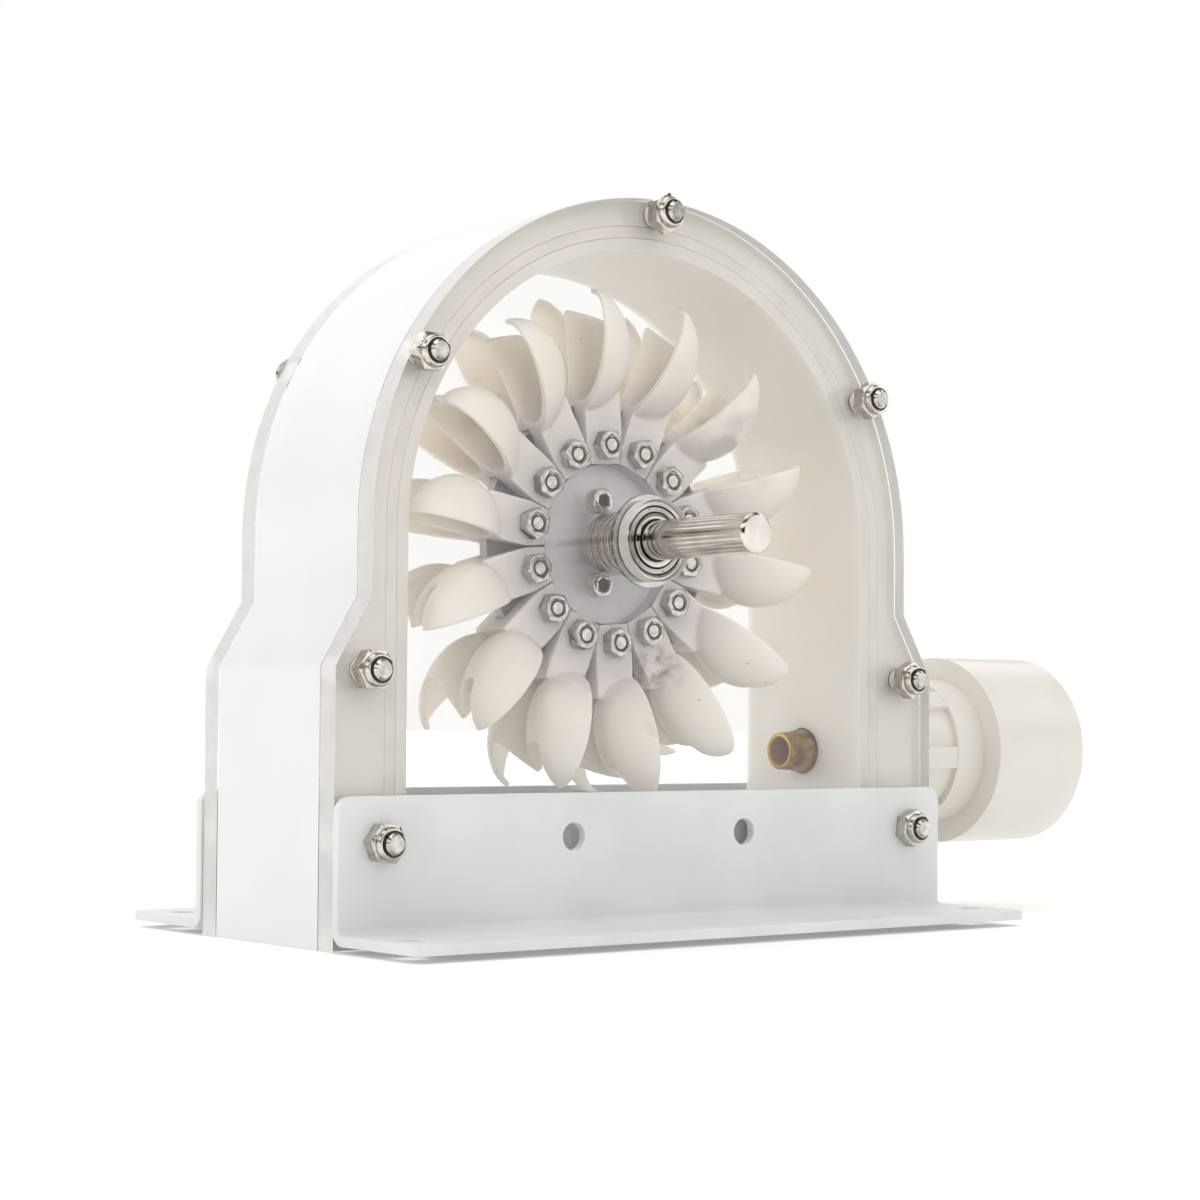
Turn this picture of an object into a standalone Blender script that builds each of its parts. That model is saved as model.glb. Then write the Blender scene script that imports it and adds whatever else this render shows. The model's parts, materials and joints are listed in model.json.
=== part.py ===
"""Small clear-sided Pelton turbine: a bladed wheel with split cups on a shaft, in a U-shaped casing
between two clear plates, with angle feet, two flanged bearings, a jet nozzle and a pipe socket.

Units are metres and +Z is up. The front faces -Y and the jet comes in from +X. Every piece is drawn
around a datum that lies below the shaft, on the ground, midway between the two clear plates. The
datum is placed so that the world origin is the middle of the footprint, at the level of the ground.
"""
import math

import bmesh
import bpy
from mathutils import Matrix, Vector

# Clearances between pieces, and how far a cutter runs past what it cuts
GAP = 0.0003
BEYOND = 0.02

# Points closer than this are one point
MERGE = 0.00001

# Casing: a thick arch, open at the bottom
AXIS_HEIGHT = 0.0785
CAVITY_RADIUS = 0.0585
ARCH_RADIUS = 0.0686
FOOT_HALF_WIDTH = 0.0764
FOOT_TOP = 0.0521
FLARE_TOP = 0.0653
CASING_HALF_DEPTH = 0.0185
PLATE_THICKNESS = 0.005
GROOVE_INNER = 0.0610
GROOVE_OUTER = 0.0635
GROOVE_DEPTH = 0.0015
SEAL_THICKNESS = 0.0009

# Angle brackets along the feet
BRACKET_HALF_LENGTH = 0.0769
BRACKET_THICKNESS = 0.002
BRACKET_TOP = 0.0284
BRACKET_REACH = 0.0510
BRACKET_LIFT = 0.0013
BEND_INNER_RADIUS = 0.001
WEB_CORNER_RADIUS = 0.0032
FLANGE_CORNER_RADIUS = 0.0015
FOOT_HOLE_RADIUS = 0.00265
WEB_HOLE_LEFT = -0.023
WEB_HOLE_RIGHT = 0.0208
WEB_HOLE_HEIGHT = 0.0199
FLANGE_HOLE_X = 0.071
FLANGE_HOLE_REACH = 0.0405

# Shaft and what is stacked along it
SHAFT_RADIUS = 0.004
SHAFT_FRONT = 0.053
SHAFT_BACK = 0.0275
SHAFT_CHAMFER = 0.0006
BEARING_RADIUS = 0.008
BEARING_FLANGE_RADIUS = 0.0094
BEARING_FLANGE_THICKNESS = 0.001
BEARING_RECESS = 0.001
SHIELD_INNER_RADIUS = 0.0057
SHIELD_OUTER_RADIUS = 0.0073
SHIELD_DEPTH = 0.0003
SPACER_RADIUS = 0.0065
SPACER_GROOVE_RADIUS = 0.0058
SPACER_RINGS = 6
SPACER_GROOVE_WIDTH = 0.0005
HUB_RADIUS = 0.0162
HUB_FACE = 0.0048
DISC_RADIUS = 0.0283
DISC_THICKNESS = 0.0025

# Buckets, drawn with X outwards from the shaft, Y along the shaft and Z towards the cup's mouth
BUCKET_COUNT = 14
FIRST_BUCKET_ANGLE = math.radians(93.8)
CUP_CENTRE = 0.0397
CUP_HALF_LENGTH = 0.0123
CUP_DEPTH = 0.0110
CUP_SIDE = 0.0062
CUP_HALF_WIDTH = 0.0065
CUP_SPLAY = 0.20
CUP_NARROWING = 0.12
CUP_WALL = 0.0011
CUP_ROOT_WALL = 0.0022
RIM_HEIGHT = 0.0046
LOBE_MIDDLE = 0.0053
LOBE_OVERLAP = 0.0009
SPLITTER_HALF_WIDTH = 0.0004
SPLITTER_TIP = 0.0486
NOTCH_VALLEY = 0.0455
NOTCH_INNER_SIDE = 0.0050
NOTCH_OUTER_SIDE = 0.0078
HORN_SPLAY = 0.0006
NOTCH_BEYOND = 0.004
LUG_INNER_RADIUS = 0.0165
LUG_BOLT_RADIUS = 0.0206
LUG_OUTER_RADIUS = 0.0315
LUG_FACE = 0.0052
LUG_HALF_INNER = 0.0036
LUG_HALF_BOLT = 0.0045
LUG_HALF_OUTER = 0.0047

# Jet nozzle and pipe fitting on the right
JET_HEIGHT = 0.0359
NOZZLE_TIP = 0.0517
NOZZLE_TIP_RADIUS = 0.00405
NOZZLE_NECK_RADIUS = 0.0042
NOZZLE_FLARE_START = 0.0552
NOZZLE_FLARE_END = 0.0577
NOZZLE_BORE_RADIUS = 0.00295
NOZZLE_BODY_RADIUS = 0.0047
NOZZLE_END = 0.0880
HUB_START = 0.0767
PIPE_HUB_RADIUS = 0.0150
PIPE_HUB_BORE = 0.0090
COLLAR_START = 0.0932
COLLAR_RADIUS = 0.0163
RIB_REACH = 0.0161
RIB_DEPTH = 0.0030
RIB_SETBACK = 0.0008
RIB_WIDTH = 0.0048
RIB_COUNT = 7
FIRST_RIB_ANGLE = math.radians(95.2)
SOCKET_START = 0.1015
SOCKET_END = 0.1290
SOCKET_RADIUS = 0.0212
SOCKET_BORE = 0.0160
SOCKET_FLOOR = 0.1045

# The datum's place puts the origin under the middle of the footprint
DATUM = Vector(((BRACKET_HALF_LENGTH - SOCKET_END) / 2, (SHAFT_FRONT - BRACKET_REACH) / 2, 0))

ARC_STEPS = 32
ROUND_STEPS = 28
FINE_STEPS = 20
RING_STEPS = 14
HOLE_STEPS = 16
CORNER_STEPS = 4
CUP_OUTSIDE_STEPS = (14, 9)
CUP_INSIDE_STEPS = (12, 8)
CUP_SMOOTH_DEGREES = 40


def make_collection(name):
    collection = bpy.data.collections.new(name)
    bpy.context.scene.collection.children.link(collection)
    return collection


def make_material(name, colour, roughness, metallic=0.0, alpha=1.0):
    material = bpy.data.materials.new(name)
    material.use_nodes = True
    shader = material.node_tree.nodes["Principled BSDF"]
    shader.inputs["Base Color"].default_value = (*colour, 1)
    shader.inputs["Roughness"].default_value = roughness
    shader.inputs["Metallic"].default_value = metallic
    shader.inputs["Alpha"].default_value = alpha
    material.diffuse_color = (*colour, alpha)
    return material


def make_empty(name, place, parent=None):
    empty = bpy.data.objects.new(name, None)
    empty.location = place
    empty.parent = parent
    PARTS.objects.link(empty)
    return empty


def add_piece(name, mesh, material, parent):
    piece = bpy.data.objects.new(name, mesh)
    if material is not None and not mesh.materials:
        mesh.materials.append(material)
    piece.parent = parent
    PARTS.objects.link(piece)
    return piece


def add_cutter(name, mesh, parent):
    cutter = bpy.data.objects.new(name, mesh)
    cutter.parent = parent
    cutter.hide_render = True
    cutter.display_type = "WIRE"
    CUTTERS.objects.link(cutter)
    return cutter


def combine(piece, cutter, operation="DIFFERENCE"):
    step = piece.modifiers.new(cutter.name, "BOOLEAN")
    step.operation = operation
    step.solver = "EXACT"
    step.object = cutter


def smooth(mesh, degrees=35):
    mesh.shade_smooth()
    mesh.set_sharp_from_angle(angle=math.radians(degrees))


def arc(centre_x, centre_z, radius, start, end, steps):
    """Points of an arc from the start angle to the end angle, in degrees."""
    points = []
    for step in range(steps + 1):
        angle = math.radians(start + (end - start) * step / steps)
        points.append((centre_x + radius * math.cos(angle), centre_z + radius * math.sin(angle)))
    return points


def slab_mesh(name, loops, low, high):
    """A flat outline filled and extruded between two heights; more loops are holes in it."""
    curve = bpy.data.curves.new(name, "CURVE")
    curve.dimensions = "2D"
    curve.fill_mode = "BOTH"
    curve.extrude = (high - low) / 2
    for loop in loops:
        spline = curve.splines.new("POLY")
        spline.points.add(len(loop) - 1)
        for point, (across, up) in zip(spline.points, loop):
            point.co = (across, up, 0, 1)
        spline.use_cyclic_u = True
    holder = bpy.data.objects.new(name, curve)
    bpy.context.scene.collection.objects.link(holder)
    evaluated = holder.evaluated_get(bpy.context.evaluated_depsgraph_get())
    mesh = bpy.data.meshes.new_from_object(evaluated)
    bpy.data.objects.remove(holder)
    bm = bmesh.new()
    bm.from_mesh(mesh)
    bmesh.ops.remove_doubles(bm, verts=bm.verts, dist=MERGE)
    bmesh.ops.translate(bm, verts=bm.verts, vec=(0, 0, (low + high) / 2))
    bm.to_mesh(mesh)
    bm.free()
    return mesh


def upright_slab(name, loops, low, high):
    """A slab whose outline is given across X and up Z, between two depths along Y."""
    mesh = slab_mesh(name, loops, -high, -low)
    mesh.transform(Matrix.Rotation(math.pi / 2, 4, "X"))
    return mesh


def turned_mesh(name, profile, steps, about="Y"):
    """A closed profile of (radius, distance) points, turned around an axis. The distance runs
    along -Y, which is forwards, or along +X."""
    bm = bmesh.new()
    verts = [bm.verts.new((radius, 0, along)) for radius, along in profile]
    for first, second in zip(verts, verts[1:]):
        bm.edges.new((first, second))
    if profile[0][0] > 0:
        bm.edges.new((verts[-1], verts[0]))
    mesh = bpy.data.meshes.new(name)
    bm.to_mesh(mesh)
    bm.free()
    holder = bpy.data.objects.new(name, mesh)
    bpy.context.scene.collection.objects.link(holder)
    screw = holder.modifiers.new("turn", "SCREW")
    screw.steps = steps
    screw.render_steps = steps
    screw.use_merge_vertices = True
    screw.merge_threshold = MERGE
    evaluated = holder.evaluated_get(bpy.context.evaluated_depsgraph_get())
    turned = bpy.data.meshes.new_from_object(evaluated)
    bpy.data.objects.remove(holder)
    turn = Matrix.Rotation(math.pi / 2, 4, "X" if about == "Y" else "Y")
    turned.transform(turn)
    smooth(turned)
    return turned


def box_mesh(name, low, high):
    bm = bmesh.new()
    bmesh.ops.create_cube(bm, size=1)
    size = Vector(high) - Vector(low)
    middle = (Vector(high) + Vector(low)) / 2
    bmesh.ops.scale(bm, verts=bm.verts, vec=size)
    bmesh.ops.translate(bm, verts=bm.verts, vec=middle)
    mesh = bpy.data.meshes.new(name)
    bm.to_mesh(mesh)
    bm.free()
    return mesh


def cylinder_mesh(name, places, radius, length, direction, steps=HOLE_STEPS):
    """Equal cylinders centred on the places, pointing along the direction."""
    bm = bmesh.new()
    turn = Vector((0, 0, 1)).rotation_difference(Vector(direction)).to_matrix().to_4x4()
    for place in places:
        bmesh.ops.create_cone(bm, cap_ends=True, segments=steps, radius1=radius, radius2=radius,
                              depth=length, matrix=Matrix.Translation(place) @ turn)
    mesh = bpy.data.meshes.new(name)
    bm.to_mesh(mesh)
    bm.free()
    return mesh


def arch_outline(radius):
    """An arch concentric with the shaft, with straight sides down to the ground."""
    return [(radius, 0)] + arc(0, AXIS_HEIGHT, radius, 0, 180, ARC_STEPS) + [(-radius, 0)]


def outer_outline():
    """The outside of the casing and the clear plates, anticlockwise from the right foot."""
    right = [(FOOT_HALF_WIDTH, 0), (FOOT_HALF_WIDTH, FOOT_TOP), (ARCH_RADIUS, FLARE_TOP)]
    left = [(-x, z) for x, z in reversed(right)]
    return right + arc(0, AXIS_HEIGHT, ARCH_RADIUS, 0, 180, ARC_STEPS) + left


def make_casing():
    """The thick arch with a seal groove in each face and a hole for the nozzle."""
    half = CASING_HALF_DEPTH - GAP
    outline = outer_outline() + list(reversed(arch_outline(CAVITY_RADIUS)))
    mesh = upright_slab("casing", [outline], -half, half)
    casing = add_piece("casing", mesh, PALE_PLASTIC, DATUM_EMPTY)
    ring = arch_outline(GROOVE_OUTER) + list(reversed(arch_outline(GROOVE_INNER)))
    ring = [(x, z if z > 0 else -GAP) for x, z in ring]
    for side, name in ((-1, "front_groove"), (1, "back_groove")):
        near, far = sorted((side * (half - GROOVE_DEPTH), side * (half + GAP)))
        combine(casing, add_cutter(name, upright_slab(name, [ring], near, far), DATUM_EMPTY))
    middle = (CAVITY_RADIUS + FOOT_HALF_WIDTH) / 2
    length = FOOT_HALF_WIDTH - CAVITY_RADIUS + BEYOND
    radius = NOZZLE_BODY_RADIUS + GAP
    hole = cylinder_mesh("nozzle_hole", [(middle, 0, JET_HEIGHT)], radius, length, (1, 0, 0), FINE_STEPS)
    combine(casing, add_cutter("nozzle_hole", hole, DATUM_EMPTY))


def make_seals():
    """The soft strip that lies in each groove, just below the casing's face."""
    inner = arch_outline(GROOVE_INNER + GAP)
    outline = arch_outline(GROOVE_OUTER - GAP) + list(reversed(inner))
    outer_face = CASING_HALF_DEPTH - GAP
    for side, name in ((-1, "front_seal"), (1, "back_seal")):
        near, far = sorted((side * outer_face, side * (outer_face - SEAL_THICKNESS)))
        add_piece(name, upright_slab(name, [outline], near, far), SEAL, DATUM_EMPTY)


def make_plates():
    """The clear plates, each with a round seat for a bearing."""
    seat = arc(0, AXIS_HEIGHT, BEARING_RADIUS + GAP, 0, 360 - 360 / ROUND_STEPS, ROUND_STEPS - 1)
    outer_face = CASING_HALF_DEPTH + PLATE_THICKNESS
    for side, name in ((-1, "front_plate"), (1, "back_plate")):
        near, far = sorted((side * CASING_HALF_DEPTH, side * outer_face))
        add_piece(name, upright_slab(name, [outer_outline(), seat], near, far), ACRYLIC, DATUM_EMPTY)


def angle_section():
    """The L section of a bracket as (distance forwards, height) points, with a round bend."""
    face = CASING_HALF_DEPTH + PLATE_THICKNESS + GAP
    bend_outer = BEND_INNER_RADIUS + BRACKET_THICKNESS
    centre = (face + bend_outer, BRACKET_LIFT + bend_outer)
    section = [(face, BRACKET_TOP)]
    section += arc(*centre, bend_outer, 180, 270, CORNER_STEPS)
    section += [(BRACKET_REACH, BRACKET_LIFT), (BRACKET_REACH, BRACKET_LIFT + BRACKET_THICKNESS)]
    section += arc(*centre, BEND_INNER_RADIUS, 270, 180, CORNER_STEPS)
    section += [(face + BRACKET_THICKNESS, BRACKET_TOP)]
    return section


def rounded_end(half_length, far, radius):
    """A rectangle from below the ground up to the far side, with its two far corners rounded."""
    near = -2 * radius
    corner = half_length - radius
    points = [(half_length, near)] + arc(corner, far - radius, radius, 0, 90, CORNER_STEPS)
    points += arc(-corner, far - radius, radius, 90, 180, CORNER_STEPS) + [(-half_length, near)]
    return points


def make_brackets():
    """The angle brackets that carry the casing, front and back."""
    length = BRACKET_HALF_LENGTH
    mesh = slab_mesh("angle_bar", [angle_section()], -length - GAP, length + GAP)
    mesh.transform(Matrix(((0, 0, 1, 0), (-1, 0, 0, 0), (0, 1, 0, 0), (0, 0, 0, 1))))
    web_outline = rounded_end(length, BRACKET_TOP, WEB_CORNER_RADIUS)
    web = upright_slab("web_shape", [web_outline], -BRACKET_REACH - BEYOND, -CASING_HALF_DEPTH)
    flange_outline = rounded_end(length, BRACKET_REACH, FLANGE_CORNER_RADIUS)
    flange = slab_mesh("flange_shape", [flange_outline], 0, BRACKET_TOP + BEYOND)
    flange.transform(Matrix.Scale(-1, 4, (0, 1, 0)))
    flange.flip_normals()
    web_middle = -(CASING_HALF_DEPTH + PLATE_THICKNESS)
    web_places = [(x, web_middle, WEB_HOLE_HEIGHT) for x in (WEB_HOLE_LEFT, WEB_HOLE_RIGHT)]
    flange_places = [(x, -FLANGE_HOLE_REACH, 0) for x in (-FLANGE_HOLE_X, FLANGE_HOLE_X)]
    web_holes = cylinder_mesh("web_holes", web_places, FOOT_HOLE_RADIUS, BEYOND, (0, 1, 0))
    flange_holes = cylinder_mesh("flange_holes", flange_places, FOOT_HOLE_RADIUS, BEYOND, (0, 0, 1))
    for name, turn in (("front_bracket", 0), ("back_bracket", math.pi)):
        bracket = add_piece(name, mesh, PAINTED_ALUMINIUM, DATUM_EMPTY)
        bracket.rotation_euler.z = turn
        tools = [(web, "INTERSECT"), (flange, "INTERSECT")]
        tools += [(web_holes, "DIFFERENCE"), (flange_holes, "DIFFERENCE")]
        for tool, operation in tools:
            cutter = add_cutter(name + "_" + tool.name, tool, DATUM_EMPTY)
            cutter.rotation_euler.z = turn
            combine(bracket, cutter, operation)


def make_bearings():
    """Flanged bearings: the body sits in the plate and the flange on the plate's inner face."""
    flange_seat = CASING_HALF_DEPTH - GAP
    flange_back = flange_seat - BEARING_FLANGE_THICKNESS
    face = CASING_HALF_DEPTH + PLATE_THICKNESS - BEARING_RECESS
    bore = SHAFT_RADIUS + GAP
    profile = [(SHIELD_OUTER_RADIUS, face), (BEARING_RADIUS, face), (BEARING_RADIUS, flange_seat),
               (BEARING_FLANGE_RADIUS, flange_seat), (BEARING_FLANGE_RADIUS, flange_back),
               (bore, flange_back), (bore, face), (SHIELD_INNER_RADIUS, face),
               (SHIELD_INNER_RADIUS, face - SHIELD_DEPTH), (SHIELD_OUTER_RADIUS, face - SHIELD_DEPTH)]
    mesh = turned_mesh("bearing", profile, ROUND_STEPS)
    for name, turn in (("front_bearing", 0), ("back_bearing", math.pi)):
        bearing = add_piece(name, mesh, STEEL, DATUM_EMPTY)
        bearing.location.z = AXIS_HEIGHT
        bearing.rotation_euler.z = turn


def make_spacers():
    """A grooved spacer on each side of the hub, up to the bearing's flange."""
    inner_end = HUB_FACE + GAP
    outer_end = CASING_HALF_DEPTH - BEARING_FLANGE_THICKNESS - 2 * GAP
    bore = SHAFT_RADIUS + GAP
    pitch = (outer_end - inner_end + SPACER_GROOVE_WIDTH) / SPACER_RINGS
    profile = []
    for ring in range(SPACER_RINGS):
        top = outer_end - ring * pitch
        bottom = top - pitch + SPACER_GROOVE_WIDTH
        profile += [(SPACER_RADIUS, top), (SPACER_RADIUS, bottom)]
        if ring < SPACER_RINGS - 1:
            profile += [(SPACER_GROOVE_RADIUS, bottom), (SPACER_GROOVE_RADIUS, top - pitch)]
    profile += [(bore, inner_end), (bore, outer_end)]
    mesh = turned_mesh("spacer", profile, RING_STEPS)
    for name, turn in (("front_spacer", 0), ("back_spacer", math.pi)):
        spacer = add_piece(name, mesh, STEEL, AXIS_EMPTY)
        spacer.rotation_euler.z = turn


def make_hub():
    """The thin wheel disc, with a round hub plate clamped on each side of it."""
    bore = SHAFT_RADIUS + GAP
    half = DISC_THICKNESS / 2
    disc = [(DISC_RADIUS, half), (DISC_RADIUS, -half), (bore, -half), (bore, half)]
    add_piece("wheel_disc", turned_mesh("wheel_disc", disc, ARC_STEPS), HUB_GREY, AXIS_EMPTY)
    inner = half + GAP
    plate = [(HUB_RADIUS, HUB_FACE), (HUB_RADIUS, inner), (bore, inner), (bore, HUB_FACE)]
    mesh = turned_mesh("hub_plate", plate, ROUND_STEPS)
    for name, turn in (("front_hub_plate", 0), ("back_hub_plate", math.pi)):
        hub = add_piece(name, mesh, HUB_GREY, AXIS_EMPTY)
        hub.rotation_euler.z = turn


def make_shaft():
    """The plain round shaft: long at the front, short at the back, with small chamfers."""
    chamfer = SHAFT_RADIUS - SHAFT_CHAMFER
    profile = [(0, SHAFT_FRONT), (chamfer, SHAFT_FRONT), (SHAFT_RADIUS, SHAFT_FRONT - SHAFT_CHAMFER),
               (SHAFT_RADIUS, -SHAFT_BACK + SHAFT_CHAMFER), (chamfer, -SHAFT_BACK), (0, -SHAFT_BACK)]
    add_piece("shaft", turned_mesh("shaft", profile, ROUND_STEPS), STEEL, AXIS_EMPTY)


def cup_mesh(name, wall, root_wall, inner_side, steps):
    """One closed egg-shaped lobe, smaller than the cup's outside by the walls. Its middle line runs
    outwards from the splitter towards the tip, and its flatter inner side follows the splitter."""
    centre = CUP_CENTRE + (root_wall - wall) / 2
    half_length = CUP_HALF_LENGTH - (root_wall + wall) / 2
    segments, rings = steps
    bm = bmesh.new()
    bmesh.ops.create_uvsphere(bm, u_segments=segments, v_segments=rings, radius=1)
    half_step = Matrix.Rotation(math.pi / segments, 3, "X")
    bmesh.ops.rotate(bm, verts=bm.verts, matrix=half_step @ Matrix.Rotation(math.pi / 2, 3, "Y"))
    for vert in bm.verts:
        along, across, up = vert.co
        middle = CUP_SIDE + CUP_SPLAY * CUP_HALF_LENGTH * along
        reach = CUP_HALF_WIDTH - wall
        if across < 0:
            round_end = math.sqrt(max(1 - along ** 2, 0.0001))
            square_end = max(1 - along ** 4, 0) ** 0.25
            reach = (middle - inner_side) * square_end / round_end
        vert.co.x = centre + half_length * along
        vert.co.y = middle + reach * across
        vert.co.z = LOBE_MIDDLE + (CUP_DEPTH - wall) * up * (1 - CUP_NARROWING * along)
    mesh = bpy.data.meshes.new(name)
    bm.to_mesh(mesh)
    bm.free()
    return mesh


def lug_mesh():
    """The root: a wedge between its neighbours as far as the bolt, then a bar of nearly one width."""
    sides = [(LUG_INNER_RADIUS, LUG_HALF_INNER), (LUG_BOLT_RADIUS, LUG_HALF_BOLT),
             (LUG_OUTER_RADIUS, LUG_HALF_OUTER)]
    outline = [(x, -z) for x, z in sides] + [(x, z) for x, z in reversed(sides)]
    return upright_slab("lug", [outline], -LUG_FACE, LUG_FACE)


def notch_mesh(name):
    """A wedge that opens the end of one cup, between the splitter's tip and the horn."""
    end = CUP_CENTRE + CUP_HALF_LENGTH + NOTCH_BEYOND
    outline = [(NOTCH_VALLEY, NOTCH_INNER_SIDE), (SPLITTER_TIP, 0), (end, -NOTCH_BEYOND),
               (end, NOTCH_OUTER_SIDE + HORN_SPLAY), (NOTCH_VALLEY, NOTCH_OUTER_SIDE)]
    return slab_mesh(name, [outline], -BEYOND, BEYOND)


def bucket_mesh():
    """A double cup with a splitter ridge, two horns at the tip and a forked root. One half is cut
    out of a lobe and a lug, and the other is its mirror image across the wheel's middle plane."""
    half = add_cutter("bucket_half", cup_mesh("cup_outside", 0, 0, -LOBE_OVERLAP, CUP_OUTSIDE_STEPS), None)
    inside = cup_mesh("cup_inside", CUP_WALL, CUP_ROOT_WALL, SPLITTER_HALF_WIDTH, CUP_INSIDE_STEPS)
    slot_half = DISC_THICKNESS / 2 + GAP
    tip = CUP_CENTRE + CUP_HALF_LENGTH + BEYOND
    above = box_mesh("above_rim", (0, -BEYOND, RIM_HEIGHT), (tip, BEYOND, RIM_HEIGHT + BEYOND))
    slot = box_mesh("disc_slot", (0, -slot_half, -BEYOND), (DISC_RADIUS + GAP, slot_half, BEYOND))
    tools = [(lug_mesh(), "UNION"), (above, "DIFFERENCE"), (inside, "DIFFERENCE"),
             (notch_mesh("notch"), "DIFFERENCE"), (slot, "DIFFERENCE")]
    for tool, operation in tools:
        combine(half, add_cutter("bucket_" + tool.name, tool, None), operation)
    half.modifiers.new("triangles", "TRIANGULATE")
    mirror = half.modifiers.new("other_half", "MIRROR")
    mirror.use_axis = (False, True, False)
    mirror.use_bisect_axis = (False, True, False)
    mirror.bisect_threshold = MERGE / 10
    mirror.merge_threshold = MERGE
    evaluated = half.evaluated_get(bpy.context.evaluated_depsgraph_get())
    mesh = bpy.data.meshes.new_from_object(evaluated)
    mesh.name = "bucket"
    mesh.materials.clear()
    smooth(mesh, CUP_SMOOTH_DEGREES)
    return mesh


def make_buckets():
    """Equal buckets around the disc, their mouths turned the way the jet meets them."""
    mesh = bucket_mesh()
    for index in range(BUCKET_COUNT):
        angle = FIRST_BUCKET_ANGLE + index * 2 * math.pi / BUCKET_COUNT
        bucket = add_piece("bucket_%02d" % (index + 1), mesh, RESIN, AXIS_EMPTY)
        bucket.rotation_euler.y = -angle


def make_nozzle():
    """The brass jet nozzle: a slightly tapered tip with a small bore, which flares to a round body
    that passes through the casing."""
    profile = [(NOZZLE_BODY_RADIUS, NOZZLE_END), (NOZZLE_BODY_RADIUS, NOZZLE_FLARE_END),
               (NOZZLE_NECK_RADIUS, NOZZLE_FLARE_START), (NOZZLE_TIP_RADIUS, NOZZLE_TIP),
               (NOZZLE_BORE_RADIUS, NOZZLE_TIP), (NOZZLE_BORE_RADIUS, NOZZLE_END)]
    nozzle = add_piece("nozzle", turned_mesh("nozzle", profile, FINE_STEPS, "X"), BRASS, DATUM_EMPTY)
    nozzle.location.z = JET_HEIGHT


def make_pipe_fitting():
    """The ivory fitting: a hub with flat ribs against the casing, a collar as high as the ribs, and
    a round socket for the pipe."""
    core = PIPE_HUB_RADIUS
    bore = NOZZLE_BODY_RADIUS + GAP
    seat = NOZZLE_END + GAP
    profile = [(SOCKET_RADIUS, SOCKET_END), (SOCKET_RADIUS, SOCKET_START), (COLLAR_RADIUS, SOCKET_START),
               (COLLAR_RADIUS, COLLAR_START), (core, COLLAR_START), (core, HUB_START), (bore, HUB_START),
               (bore, seat), (PIPE_HUB_BORE, seat + PIPE_HUB_BORE - bore), (PIPE_HUB_BORE, SOCKET_FLOOR),
               (SOCKET_BORE, SOCKET_FLOOR), (SOCKET_BORE, SOCKET_END)]
    mesh = turned_mesh("pipe_fitting", profile, ROUND_STEPS, "X")
    fitting = add_piece("pipe_fitting", mesh, IVORY, DATUM_EMPTY)
    fitting.location.z = JET_HEIGHT
    rib_start = HUB_START + RIB_SETBACK
    rib_end = COLLAR_START + RIB_SETBACK
    bm = bmesh.new()
    for index in range(RIB_COUNT):
        turn = Matrix.Rotation(FIRST_RIB_ANGLE + 2 * math.pi * index / RIB_COUNT, 4, "X")
        middle = Vector(((rib_start + rib_end) / 2, 0, RIB_REACH - RIB_DEPTH / 2))
        size = Matrix.Diagonal((rib_end - rib_start, RIB_WIDTH, RIB_DEPTH, 1))
        bmesh.ops.create_cube(bm, size=1, matrix=turn @ Matrix.Translation(middle) @ size)
    ribs = bpy.data.meshes.new("ribs")
    bm.to_mesh(ribs)
    bm.free()
    cutter = add_cutter("hub_ribs", ribs, DATUM_EMPTY)
    cutter.location.z = JET_HEIGHT
    combine(fitting, cutter, "UNION")


for old in list(bpy.data.objects):
    bpy.data.objects.remove(old, do_unlink=True)

PARTS = make_collection("pelton_turbine")
CUTTERS = make_collection("cutters")

PALE_PLASTIC = make_material("pale_plastic", (0.80, 0.79, 0.76), 0.5)
ACRYLIC = make_material("clear_acrylic", (0.86, 0.88, 0.88), 0.05, alpha=0.3)
SEAL = make_material("seal", (0.85, 0.85, 0.83), 0.6)
PAINTED_ALUMINIUM = make_material("painted_aluminium", (0.66, 0.68, 0.68), 0.45, 0.2)
STEEL = make_material("stainless_steel", (0.62, 0.60, 0.57), 0.25, 1.0)
HUB_GREY = make_material("hub_grey", (0.52, 0.50, 0.54), 0.5)
RESIN = make_material("cast_resin", (0.76, 0.73, 0.66), 0.4)
BRASS = make_material("brass", (0.45, 0.33, 0.17), 0.4, 1.0)
IVORY = make_material("ivory_plastic", (0.84, 0.82, 0.74), 0.35)

DATUM_EMPTY = make_empty("datum", DATUM)
AXIS_EMPTY = make_empty("shaft_axis", (0, 0, AXIS_HEIGHT), DATUM_EMPTY)

make_casing()
make_seals()
make_plates()
make_brackets()
make_bearings()
make_spacers()
make_hub()
make_shaft()
make_buckets()
make_nozzle()
make_pipe_fitting()
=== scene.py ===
"""Looks of the small clear-sided Pelton turbine: a wheel of split buckets on a steel shaft, in a pale
arch-shaped casing between two clear windows, on angle feet, with a brass jet and an ivory pipe fitting.

Units are metres, and sizes are written in millimetres times MM. Depths are measured from the middle of
the casing, and the front is -Y. Every place is worked out from the shaft's axis.
"""
import json
import math

import bmesh
import bpy
from mathutils import Matrix, Vector


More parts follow.
